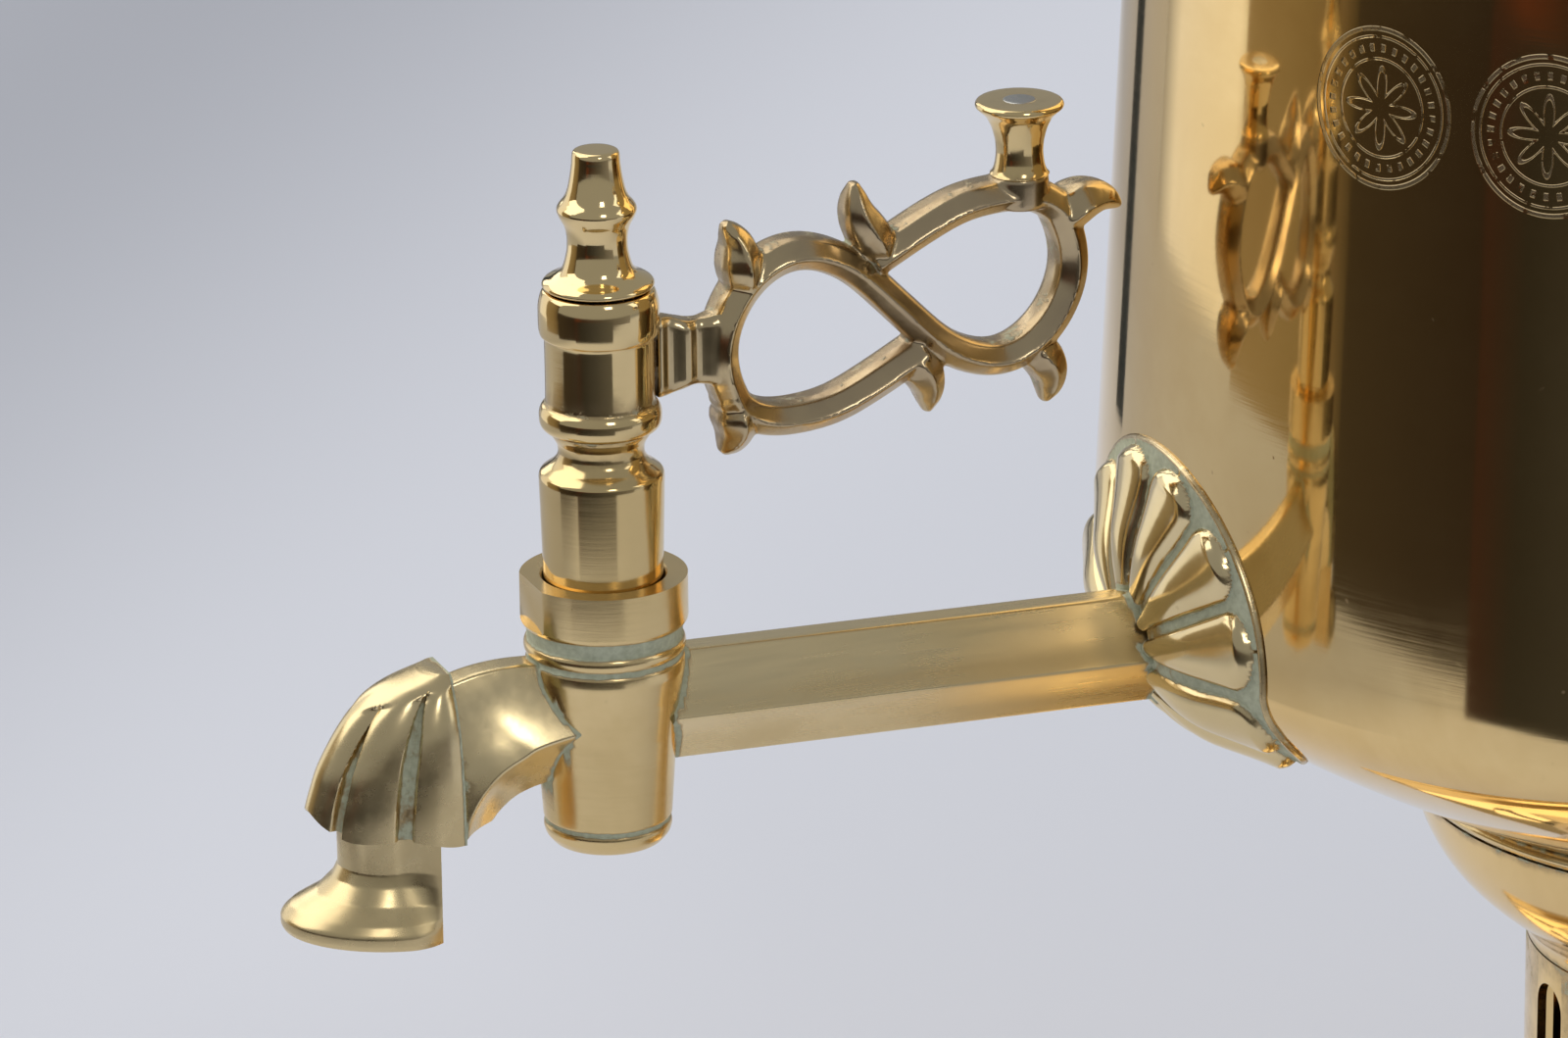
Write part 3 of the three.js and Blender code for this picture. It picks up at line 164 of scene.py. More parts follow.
NOZZLE_FLAT = 9.1 * MM
NOZZLE_TILT = 0.085
NOZZLE_WALL = 1.7 * MM

# Key
PLUG_SHOULDER = 37.4 * MM
STUD_RADIUS = 4 * MM
SCROLL_REACH = 46.2 * MM
SCROLL_HEIGHT = 56.6 * MM
SCROLL_HALF_LENGTH = 28 * MM
SCROLL_HALF_HEIGHT = 15 * MM
BAR_DEPTH = 4.1 * MM
BAR_WIDTH = 2.6 * MM
WEB_DEPTH = 4.6 * MM
WEB_HEIGHT = 12.4 * MM
WEB_START = 8.2 * MM
THUMB_REACH = 65.8 * MM
THUMB_BOSS = 4.3 * MM


# Outlines and curves

def soften(points, reach, steps=3):
    """Rounds each corner of an outline over a reach along its two sides. A point's fourth value, where it
    has one, is its own reach. What follows a point's two places, such as its grime, is blended too."""
    out = []
    for i, corner in enumerate(points):
        here = Vector((*corner, 0)[:3])
        if i in (0, len(points) - 1):
            out.append(tuple(here))
            continue
        before, after = (Vector((*points[k], 0)[:3]) for k in (i - 1, i + 1))
        span = corner[3] if len(corner) > 3 else reach
        starts = []
        for other in (before, after):
            length = (other - here).xy.length
            starts.append(here.lerp(other, min(span / max(length, 1e-9), 0.48)))
        for k in range(steps + 1):
            t = k / steps
            out.append(tuple(starts[0].lerp(here, t).lerp(here.lerp(starts[1], t), t)))
    return out


def smooth_path(points, count):
    """Even points along a smooth curve through the given ones."""
    points = [Vector(p) for p in points]
    ends = [2 * points[0] - points[1], *points, 2 * points[-1] - points[-2]]
    dense = []
    for i in range(1, len(ends) - 2):
        a, b, c, d = ends[i - 1:i + 3]
        for k in range(16):
            t = k / 16
            dense.append(0.5 * (2 * b + (c - a) * t + (2 * a - 5 * b + 4 * c - d) * t ** 2
                                + (3 * b - a - 3 * c + d) * t ** 3))
    dense.append(points[-1])
    lengths = [0]
    for a, b in zip(dense, dense[1:]):
        lengths.append(lengths[-1] + (b - a).length)
    out, k = [], 0
    for i in range(count):
        want = lengths[-1] * i / (count - 1)
        while k < len(dense) - 2 and lengths[k + 1] < want:
            k += 1
        share = (want - lengths[k]) / max(lengths[k + 1] - lengths[k], 1e-12)
        out.append(dense[k].lerp(dense[k + 1], share))
    return out


def eased(path, rounds):
    """Evens out a path's bends. Its two ends stay."""
    for _ in range(rounds):
        path = [path[0], *((a + b) / 2 for a, b in zip(path, path[2:])), path[-1]]
    return path


def bezier(points, count):
    """Points on the cubic curve of four control points."""
    a, b, c, d = (Vector(p) for p in points)
    out = []
    for i in range(count):
        t = i / (count - 1)
        out.append((1 - t) ** 3 * a + 3 * (1 - t) ** 2 * t * b + 3 * (1 - t) * t ** 2 * c + t ** 3 * d)
    return out


def between(table, value):
    """Reads a table whose first column rises, between the two rows that a value lies between."""
    if value <= table[0][0]:
        return table[0]
    for low, high in zip(table, table[1:]):
        if value <= high[0]:
            share = (value - low[0]) / (high[0] - low[0])
            return tuple(a + share * (b - a) for a, b in zip(low, high))
    return table[-1]


def step(value, low, high):
    """0 below low, 1 above high, and a smooth rise between them."""
    t = min(max((value - low) / (high - low), 0), 1)
    return t * t * (3 - 2 * t)


def offset(outline, distance):
    """Moves an open outline to its left-hand side."""
    out = []
    for i, (r, h) in enumerate(outline):
        r0, h0 = outline[max(i - 1, 0)]
        r1, h1 = outline[min(i + 1, len(outline) - 1)]
        length = math.hypot(r1 - r0, h1 - h0)
        out.append((r - distance * (h1 - h0) / length, h + distance * (r1 - r0) / length))
    return out


# Meshes

def start_work():
    """An empty bmesh whose points carry a grime value."""
    work = bmesh.new()
    return work, work.verts.layers.float.new("grime")


def add_object(name, data):
    """Puts data into the scene as an object."""
    made = bpy.data.objects.new(name, data)
    bpy.context.scene.collection.objects.link(made)
    return made


def shade(piece, angle):
    """Smooth shading, with edges sharper than the angle kept crisp."""
    piece.data.polygons.foreach_set("use_smooth", [True] * len(piece.data.polygons))
    piece.data.set_sharp_from_angle(angle=math.radians(angle))
    return piece


def finish_work(work, name, angle=38, capped=False):
    """Makes an object of a bmesh: its seams closed, its faces outwards, smooth-shaded."""
    bmesh.ops.remove_doubles(work, verts=work.verts, dist=0.002 * MM)
    if capped:
        bmesh.ops.holes_fill(work, edges=[edge for edge in work.edges if edge.is_boundary])
    bmesh.ops.recalc_face_normals(work, faces=work.faces)
    mesh = bpy.data.meshes.new(name)
    work.to_mesh(mesh)
    work.free()
    return shade(add_object(name, mesh), angle)


def turned(name, outline, place, sides=96, lying=False):
    """Turns an outline of (radius, height, grime) rows round the upright axis through a place, or where it
    is lying, round the Y axis. It closes on itself unless both ends lie on the axis."""
    work, grime = start_work()
    points = []
    for radius, height, dirt in outline:
        point = work.verts.new((0, -radius, height))
        point[grime] = dirt
        points.append(point)
    closed = outline[0][0] > 0 or outline[-1][0] > 0
    ends = points[1:] + points[:1] if closed else points[1:]
    lines = [work.edges.new(pair) for pair in zip(points, ends)]
    bmesh.ops.spin(work, geom=points + lines, cent=(0, 0, 0), axis=(0, 0, 1), angle=ROUND, steps=sides,
                   use_merge=True)
    if lying:
        bmesh.ops.rotate(work, verts=work.verts, matrix=Matrix.Rotation(-math.pi / 2, 3, "X"))
    bmesh.ops.translate(work, verts=work.verts, vec=place)
    return finish_work(work, name)


def mapped(name, columns, rows, place, angle=38, capped=False):
    """Lays a flat grid over a shape: place gives a point and its grime for each column and row. Sides that
    meet are joined."""
    work, grime = start_work()
    bmesh.ops.create_grid(work, x_segments=columns, y_segments=rows, size=1)
    for point in work.verts:
        column, row = round((point.co.x + 1) / 2 * columns), round((point.co.y + 1) / 2 * rows)
        point.co, point[grime] = place(column, row)
    return finish_work(work, name, angle, capped)


def draw_ring(ring, stops):
    """Draws a closed ring of points from stop to stop, each a matrix."""
    work, _ = start_work()
    points = [work.verts.new(stops[0] @ Vector((a, b, 0))) for a, b in ring]
    lines = [work.edges.new(pair) for pair in zip(points, points[1:] + points[:1])]
    for before, after in zip(stops, stops[1:]):
        grown = bmesh.ops.extrude_edge_only(work, edges=lines)["geom"]
        points = [item for item in grown if isinstance(item, bmesh.types.BMVert)]
        lines = [item for item in grown if isinstance(item, bmesh.types.BMEdge) and item.is_boundary]
        bmesh.ops.transform(work, verts=points, matrix=after @ before.inverted())
    return work


def swept(name, path, section, across, size_shares=(1, 1)):
    """Draws a section along a path. Its first direction stays near across, and the sizes, spread evenly
    over the path, scale it."""
    sizes = [(k / (len(size_shares) - 1), share) for k, share in enumerate(size_shares)]
    stops = []
    for i, centre in enumerate(path):
        way = (path[min(i + 1, len(path) - 1)] - path[max(i - 1, 0)]).normalized()
        first = (across - way * across.dot(way)).normalized()
        size = between(sizes, i / (len(path) - 1))[1]
        turn = Matrix((first * size, way.cross(first) * size, way)).transposed().to_4x4()
        stops.append(Matrix.Translation(centre) @ turn)
    return finish_work(draw_ring(section, stops), name, capped=True)


def disc(centre, way, radius, depth, ease, sides=40):
    """A short round bar with eased rims."""
    work, _ = start_work()
    turn = Vector((0, 0, 1)).rotation_difference(way).to_matrix().to_4x4()
    bmesh.ops.create_cone(work, cap_ends=True, segments=sides, radius1=radius, radius2=radius, depth=depth,
                          matrix=Matrix.Translation(centre) @ turn)
    rims = [edge for edge in work.edges if any(len(face.verts) > 4 for face in edge.link_faces)]
    bmesh.ops.bevel(work, geom=rims, offset=ease, offset_type="OFFSET", segments=2, profile=0.5,
                    affect="EDGES", material=-1)
    return finish_work(work, "disc")


def prism(outline, facing, depth):
    """A solid to cut with: a flat outline that a matrix places, drawn along the matrix's own Z."""
    work, _ = start_work()
    face = work.faces.new([work.verts.new((x, y, 0)) for x, y in outline])
    grown = bmesh.ops.extrude_face_region(work, geom=[face])["geom"]
    moving = [item for item in grown if isinstance(item, bmesh.types.BMVert)]
    bmesh.ops.translate(work, verts=moving, vec=(0, 0, depth))
    bmesh.ops.transform(work, verts=work.verts, matrix=facing)
    return finish_work(work, "tool", capped=True)


def window_tool(angle, width, height, foot, reach):
    """A round-topped window from the vessel's axis outwards."""
    arch = foot + height - width / 2
    bow = [(width / 2 * math.cos(a), arch + width / 2 * math.sin(a))
           for a in (math.pi * k / 12 for k in range(13))]
    facing = Matrix.Rotation(angle, 4, "Z") @ Matrix.Rotation(math.pi / 2, 4, "X")
    return prism([(-width / 2, foot), (width / 2, foot), *bow], Matrix.Translation(AXIS) @ facing, reach)


def barrel_tool():
    """Room for the barrel, out of a piece that runs into it."""
    low, high = corners("tap_barrel")
    outline = [(0, low.z, 0), (PIPE_START, low.z, 0), (PIPE_START, high.z, 0), (0, high.z, 0)]
    return turned("tool", outline, TAP_AXIS)


def scaled(shares, node, corner):
    """A node's outline in metres, from shares of its radius and height, with rounded corners."""
    low, high = corners(node)
    radius, height = half_width(node), high.z - low.z
    points = []
    for across, up, *dirt in shares:
        points.append((across * radius, low.z + up * height, *dirt))
    return soften(points, corner)


def turned_node(node, body, slot, material, shares, corner, sides):
    """A fine turned piece that stands for a node, in that node's own box."""
    centre = middle(node)
    piece = turned(f"{node}_fine", scaled(shares, node, corner), Vector((centre.x, centre.y, 0)), sides)
    return dress(piece, body, slot, material, node)


def dress(piece, body, slot, material, *nodes):
    """Gives a piece its finish and its place on a body, and hides the nodes that it stands for."""
    piece.data.materials.clear()
    piece.data.materials.append(material)
    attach(piece, body)
    if nodes:
        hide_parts(*nodes)
    return piece


def bake_modifiers(piece):
    """Turns a piece with its modifiers into a plain mesh."""
    shown = piece.evaluated_get(bpy.context.evaluated_depsgraph_get())
    mesh = bpy.data.meshes.new_from_object(shown)
    piece.modifiers.clear()
    old, piece.data = piece.data, mesh
    bpy.data.meshes.remove(old)


def cut_away(piece, *tools, angle=38):
    """Cuts each tool out of a piece, and deletes it."""
    for tool in tools:
        cut = piece.modifiers.new("cut", "BOOLEAN")
        cut.operation = "DIFFERENCE"
        cut.solver = "EXACT"
        cut.object = tool
    bake_modifiers(piece)
    for tool in tools:
        bpy.data.objects.remove(tool)
    return shade(piece, angle)


def cast_together(name, parts, voxel, rounds, keep):
    """Melts overlapping parts into one casting with softened inner corners, and keeps a share of its
    faces."""
    mesh = bpy.data.meshes.new(name)
    work = bmesh.new()
    for part in parts:
        work.from_mesh(part.data)
        bpy.data.objects.remove(part)
    work.to_mesh(mesh)
    work.free()
    piece = add_object(name, mesh)
    melt = piece.modifiers.new("melt", "REMESH")
    melt.mode = "VOXEL"
    melt.voxel_size = voxel
    ease = piece.modifiers.new("ease", "SMOOTH")
    ease.factor = 0.5
    ease.iterations = rounds
    thin = piece.modifiers.new("thin", "DECIMATE")
    thin.ratio = keep
    bake_modifiers(piece)
    return shade(piece, 60)


def grime_in_hollows(piece, gain, rounds, inside=0):
    """Gives a casting grime where its surface bends inwards, evened out over its neighbours, and raises the
    same grime value where it faces along its own plane."""
    work = bmesh.new()
    work.from_mesh(piece.data)
    grime = work.verts.layers.float.get("grime") or work.verts.layers.float.new("grime")
    work.normal_update()
    bend = []
    for point in work.verts:
        others = [edge.other_vert(point).co - point.co for edge in point.link_edges]
        span = sum(other.length for other in others) / len(others)
        bend.append(max(sum(point.normal.dot(other) for other in others) / len(others) / span, 0))
    around = [[edge.other_vert(point).index for edge in point.link_edges] for point in work.verts]
    for _ in range(rounds):
        bend = [(here + sum(bend[k] for k in near) / len(near)) / 2 for here, near in zip(bend, around)]
    for point, value in zip(work.verts, bend):
        point[grime] = min(value * gain + inside * (1 - step(abs(point.normal.x), 0.2, 0.6)), 1)
    work.to_mesh(piece.data)
    work.free()


def settle_grime(piece, others, reach, amount):
    """Adds grime to a piece where it lies close to others, as it gathers in seams."""
    trees = [BVHTree.FromObject(other, bpy.context.evaluated_depsgraph_get()) for other in others]
    layer = piece.data.attributes["grime"]
    for vertex, value in zip(piece.data.vertices, layer.data):
        near = min((tree.find_nearest(vertex.co, reach * 2)[3] or reach * 2) for tree in trees)
        value.value = max(value.value, amount * (1 - step(near, 0.25 * reach, reach)))


# Finishes

class Signal:
    """A shader socket that takes part in sums: each operator adds its Math node."""

    def __init__(self, finish, socket):
        self.finish = finish
        self.socket = socket

    def __add__(self, other):
        return self.finish.maths("ADD", self, other)

    __radd__ = __add__

    def __sub__(self, other):
        return self.finish.maths("SUBTRACT", self, other)

    def __rsub__(self, other):
        return self.finish.maths("SUBTRACT", other, self)

    def __mul__(self, other):
        return self.finish.maths("MULTIPLY", self, other)

    __rmul__ = __mul__

    def __or__(self, other):
        return self.finish.maths("MAXIMUM", self, other)

    __ror__ = __or__

    def __abs__(self):
        return self.finish.maths("ABSOLUTE", self)


class Finish:
    """One material's nodes."""

    def __init__(self, name):
        self.material = bpy.data.materials.new(name)
        self.material.use_nodes = True
        self.tree = self.material.node_tree
        self.place = self.node("ShaderNodeTexCoord", output="Object")

    def feed(self, socket, value):
        """Links a signal to a socket, or sets the socket's own value."""
        if isinstance(value, Signal):
            self.tree.links.new(value.socket, socket)
        else:
            socket.default_value = value

    def node(self, kind, settings=None, inputs=None, output=0):
        """Adds a node: its settings first, then the values or links of its sockets."""
        made = self.tree.nodes.new(kind)
        for name, value in (settings or {}).items():
            if name == "stops":
                for i, (position, colour) in enumerate(value):
                    stops = made.color_ramp.elements
                    stop = stops[i] if i < 2 else stops.new(position)
                    stop.position, stop.color = position, colour
            else:
                setattr(made, name, value)
        for name, value in (inputs or {}).items():
            self.feed(made.inputs[name], value)
        return Signal(self, made.outputs[output])

    def maths(self, operation, *values):
        """A Math node on signals and numbers."""
        return self.node("ShaderNodeMath", {"operation": operation}, dict(enumerate(values)))

    def stretched(self, x, y, z):
        """The piece's coordinates, scaled apart, for grain that runs one way."""
        return self.node("ShaderNodeVectorMath", {"operation": "MULTIPLY"}, {0: self.place, 1: (x, y, z)})

    def noise(self, scale, detail=3.0, rough=0.5, place=None, twist=0.0):
        return self.node("ShaderNodeTexNoise", None, {
            "Vector": place or self.place, "Scale": scale, "Detail": detail, "Roughness": rough,
            "Distortion": twist})

    def span(self, value, low, high, to_low=0.0, to_high=1.0):
        """A smooth rise from one value to another while the signal goes from low to high."""
        return self.node("ShaderNodeMapRange", {"interpolation_type": "SMOOTHSTEP"},
                         dict(enumerate((value, low, high, to_low, to_high))))

    def blend(self, share, first, second):
        """Mixes two colours."""
        return self.node("ShaderNodeMix", {"data_type": "RGBA"}, {0: share, 6: first, 7: second}, 2)

    def bump(self, height, depth, under=None):
        """Relief of a depth, laid over the relief under it."""
        inputs = {"Height": height, "Distance": depth, "Strength": 1.0}
        if under:
            inputs["Normal"] = under
        return self.node("ShaderNodeBump", None, inputs)

    def axes(self):
        """The piece's three coordinates, each a signal."""
        return (self.node("ShaderNodeSeparateXYZ", None, {0: self.place}, k) for k in range(3))

    def grime(self):
        """The grime that a mesh carries."""
        return self.node("ShaderNodeAttribute", {"attribute_name": "grime"}, output="Fac")

    def surface(self, **sockets):
        """Sets the shader's sockets, by their names, and gives the material."""
        shader = self.tree.nodes["Principled BSDF"]
        for name, value in sockets.items():
            self.feed(shader.inputs[name.replace("_", " ")], value)
        return self.material


SHEET_BRASS = (0.94, 0.69, 0.33, 1), (0.84, 0.59, 0.26, 1)
CAST_BRASS = (0.87, 0.70, 0.40, 1), (0.74, 0.58, 0.31, 1)
SCROLL_BRASS = (0.68, 0.53, 0.30, 1), (0.47, 0.36, 0.23, 1)
TURNED_BRASS = (0.89, 0.68, 0.35, 1), (0.77, 0.57, 0.27, 1)
TARNISH = (0.27, 0.18, 0.10, 1)
VERDIGRIS_PALE = (0.68, 0.70, 0.52, 1)
VERDIGRIS_DEEP = (0.30, 0.31, 0.20, 1)
STAMP_LIGHT = (0.78, 0.72, 0.56, 1)


def brass(name, colours, rough, brushing, brush_depth, spots, stamps=False):
    """Old polished brass: clouded tone, hairline scratches, tarnish specks, and verdigris in its seams."""
    finish = Finish(name)
    grime = finish.grime()
    cloud = finish.noise(22, 5, 0.6, twist=0.4)
    grain = finish.noise(900, 3, 0.6)
    patch = finish.noise(260, 4, 0.65)
    lines = finish.noise(1, 3, 0.6, finish.stretched(*brushing))
    soiled = grime + (patch - 0.5) * 0.8
    crust = finish.span(soiled + (grain - 0.5) * 0.5, 0.46, 0.70)
    halo = finish.span(soiled, 0.10, 0.65)
    speckled = finish.span(finish.noise(30), 0.5, 0.66, 0, spots)
    speck = finish.span(finish.noise(420, 2), 0.73, 0.78) * speckled
    tone = finish.blend(finish.span(cloud, 0.35, 0.68), *colours)
    tone = finish.blend(halo * 0.6 | speck, tone, TARNISH)
    tone = finish.blend(crust, tone, finish.blend(grain, VERDIGRIS_DEEP, VERDIGRIS_PALE))
    dull = finish.span(cloud, 0.3, 0.75, rough * 0.75, rough * 1.35) + (lines - 0.5) * (rough * 0.8)
    dull = dull + halo * 0.14 + speck * 0.3
    relief = finish.bump(lines, brush_depth)
    if stamps:
        mark = stamp_marks(finish)
        tone = finish.blend(mark * 0.4, tone, STAMP_LIGHT)
        dull = dull + mark * 0.16
        relief = finish.bump(1 - mark, 0.03 * MM, relief)
    dull = dull * (1 - crust) + crust * 0.85
    relief = finish.bump(crust * (0.6 + grain * 0.8), 0.10 * MM, relief)
    return finish.surface(Base_Color=tone, Metallic=1 - crust, Roughness=dull, Normal=relief)


STAMP_HEIGHT = 252 * MM
STAMP_RADIUS = 11.5 * MM
STAMP_WALL = 96 * MM
STAMP_ANGLES = [math.radians(a) for a in (27.5, 43.5, 59.5, 75.5)]


def stamp_marks(finish):
    """Plain stamped roundels in a row: rings, a ring of beads and an eight-petalled flower."""
    x, y, z = finish.axes()
    turn = finish.maths("ARCTAN2", x, (y - AXIS.y) * -1)
    up = z - STAMP_HEIGHT
    total = 0.0
    for centre in STAMP_ANGLES:
        across = (turn - centre) * STAMP_WALL
        far = finish.maths("SQRT", across * across + up * up) * (1 / STAMP_RADIUS)
        spin = finish.maths("ARCTAN2", up, across)
        mark = 0.0
        for ring, width in ((1.0, 0.035), (0.9, 0.02), (0.62, 0.02)):
            mark = finish.span(abs(far - ring), width / 2, width, 1, 0) | mark
        beads = finish.span(finish.maths("COSINE", spin * 28), 0.1, 0.6)
        beads = beads * finish.span(abs(far - 0.76), 0.03, 0.06, 1, 0)
        petal = 0.34 + finish.maths("COSINE", spin * 8) * 0.16
        flower = finish.span(abs(far - petal), 0.02, 0.05, 1, 0)
        total = (mark | beads | flower) * finish.span(far, 1.04, 1.1, 1, 0) | total
    return total * finish.span(finish.noise(500, 3, 0.6), 0.3, 0.5)


def wood(name, along):
    """Dark varnished wood with streaks along the piece's length and fine turning rings across it."""
    finish = Finish(name)
    grain = [60 if axis == along else 900 for axis in "XYZ"]
    turning = [1600 if axis == along else 20 for axis in "XYZ"]
    streaks = finish.noise(1, 5, 0.6, finish.stretched(*grain), 0.8)
    rings = finish.noise(1, 2, 0.5, finish.stretched(*turning))
    rub = finish.noise(70, 4, 0.6)
    tone = finish.blend(finish.span(streaks, 0.3, 0.7), (0.045, 0.018, 0.009, 1), (0.14, 0.06, 0.026, 1))
    tone = finish.blend(finish.span(rub, 0.58, 0.75, 0, 0.45), tone, (0.22, 0.11, 0.055, 1))
    relief = finish.bump(streaks * 0.6 + rings * 0.4, 0.05 * MM)
    return finish.surface(Base_Color=tone, Roughness=finish.span(rub, 0.3, 0.7, 0.28, 0.5), Normal=relief,
                          Coat_Weight=0.4, Coat_Roughness=0.15)


def grey_metal(name, light, dark, rough, metallic, grain):
    """Tinned sheet, plain steel or sooted iron: mottled and finely grained, with soot where grime lies."""
    finish = Finish(name)
    mottle = finish.noise(120, 5, 0.65, twist=0.5)
    fine = finish.noise(grain, 3, 0.6)
    soot = finish.span(finish.grime() + (mottle - 0.5) * 0.5, 0.3, 0.8)
    tone = finish.blend(finish.span(mottle, 0.35, 0.7), light, dark)
    tone = finish.blend(soot, tone, (0.03, 0.028, 0.026, 1))
    dull = finish.span(mottle, 0.3, 0.7, rough * 0.8, rough * 1.2) + (fine - 0.5) * 0.1 + soot * 0.3
    return finish.surface(Base_Color=tone, Metallic=metallic * (1 - soot * 0.8), Roughness=dull,
                          Normal=finish.bump(fine, 0.03 * MM))


POLISHED = brass("brass_vessel", SHEET_BRASS, 0.06, (40, 40, 1500), 0.0012 * MM, 0.9, stamps=True)
SPUN = brass("brass_spun", SHEET_BRASS, 0.12, (40, 40, 1500), 0.003 * MM, 0.6)
RINGED = brass("brass_turned", TURNED_BRASS, 0.15, (60, 60, 2600), 0.006 * MM, 0.4)
KEYED = brass("brass_key", TURNED_BRASS, 0.11, (60, 60, 2600), 0.002 * MM, 0.3)
BARREL = brass("brass_barrel", TURNED_BRASS, 0.2, (90, 90, 2400), 0.005 * MM, 0.5)
DRAWN = brass("brass_pipe", CAST_BRASS, 0.26, (1500, 60, 1500), 0.005 * MM, 0.5)
CAST = brass("brass_cast", CAST_BRASS, 0.24, (500, 500, 500), 0.008 * MM, 0.5)
LOBED = brass("brass_rosette", CAST_BRASS, 0.16, (500, 500, 500), 0.006 * MM, 0.5)
BELLED = brass("brass_nozzle", CAST_BRASS, 0.24, (500, 500, 500), 0.006 * MM, 0.4)
PIERCED = brass("brass_scroll", SCROLL_BRASS, 0.19, (350, 350, 350), 0.006 * MM, 0.4)
WOOD_ALONG = wood("wood_grip", "Y")
WOOD_UP = wood("wood_knob", "Z")
TIN = grey_metal("tinned_sheet", (0.62, 0.61, 0.58, 1), (0.34, 0.32, 0.29, 1), 0.4, 0.9, 800)
IRON = grey_metal("sooted_iron", (0.09, 0.085, 0.08, 1), (0.03, 0.028, 0.026, 1), 0.75, 0.6, 1500)
STEEL = grey_metal("plain_steel", (0.55, 0.54, 0.51, 1), (0.36, 0.35, 0.33, 1), 0.3, 1.0, 1200)


# Vessel, fire tube, neck and base

VESSEL_LOW, VESSEL_HIGH = corners("vessel_shell")
WALL_RADIUS = half_width("vessel_shell")
BELT = TAP.z - BELT_DROP
RIM_RADIUS = WALL_RADIUS - (VESSEL_HIGH.z - BELT) * math.tan(WALL_LEAN)
TUBE_FOOT = half_width("fire_tube")
BOWL_END = TUBE_FOOT + BOWL_LEDGE


def wall_outline():
    """The vessel's outside as (radius, height), from the bowl's lower end up to the rim."""
    depth = BELT - VESSEL_LOW.z
    points = [(BOWL_END + r * (WALL_RADIUS - BOWL_END), VESSEL_LOW.z + h * depth) for r, h in BOWL_SHARES]
    wall = [(WALL_RADIUS + (RIM_RADIUS - WALL_RADIUS) * k / 24, BELT + (VESSEL_HIGH.z - BELT) * k / 24)
            for k in range(1, 25)]
    return [tuple(p) for p in bezier(points, 40)] + wall


WALL = wall_outline()
WALL_BY_HEIGHT = [(h, r) for r, h in WALL]


def build_vessel():
    """The vessel's sheet wall and bowl, with the hole that the fire tube fills."""
    inside = offset(WALL, SHEET)[::-1]
    hole = TUBE_FOOT + SEAT_GAP
    ease = 0.2 * MM
    rim = [(RIM_RADIUS - ease, VESSEL_HIGH.z), (RIM_RADIUS - SHEET + ease, VESSEL_HIGH.z)]
    floor = [(BOWL_END, VESSEL_LOW.z + SHEET), (hole, VESSEL_LOW.z + SHEET)]
    outline = [(hole, VESSEL_LOW.z), *WALL, *rim, *inside[1:-1], *floor]
    shell = turned("vessel_shell_fine", [(r, h, 0) for r, h in outline], AXIS, VESSEL_SIDES)
    return dress(shell, "body", "polished_brass", POLISHED, "vessel_shell")


def build_fire_tube():
    """The tinned tube, widened at its foot and sooted inside."""
    low, high = corners("fire_tube")
    widening_shares = [(1, 0), (1, 0.35), (0.45, 0.75), (0, 1.1)]
    foot, widening = 30 * MM, TUBE_FOOT - FLUE_RADIUS
    points = [(FLUE_RADIUS + r * widening, low.z + h * foot, 0) for r, h in widening_shares]
    outside = [p[:2] for p in soften([*points, (FLUE_RADIUS, high.z, 0)], 5 * MM, steps=5)]
    inside = [(r, min(max(h, low.z), high.z)) for r, h in offset(outside, SHEET)[::-1]]
    outline = [(r, h, 0) for r, h in outside] + [(r, h, 0.75) for r, h in inside]
    tube = turned("fire_tube_fine", outline, AXIS, 128)
    dress(tube, "body", "tinned_steel", TIN, "fire_tube")
    for node, material in (("fire_grate", IRON), ("tap_strainer", TIN)):
        kept = frame["nodes"][node]
        for slot in kept.material_slots:
            slot.material = material
        if not kept.material_slots:
            kept.data.materials.append(material)


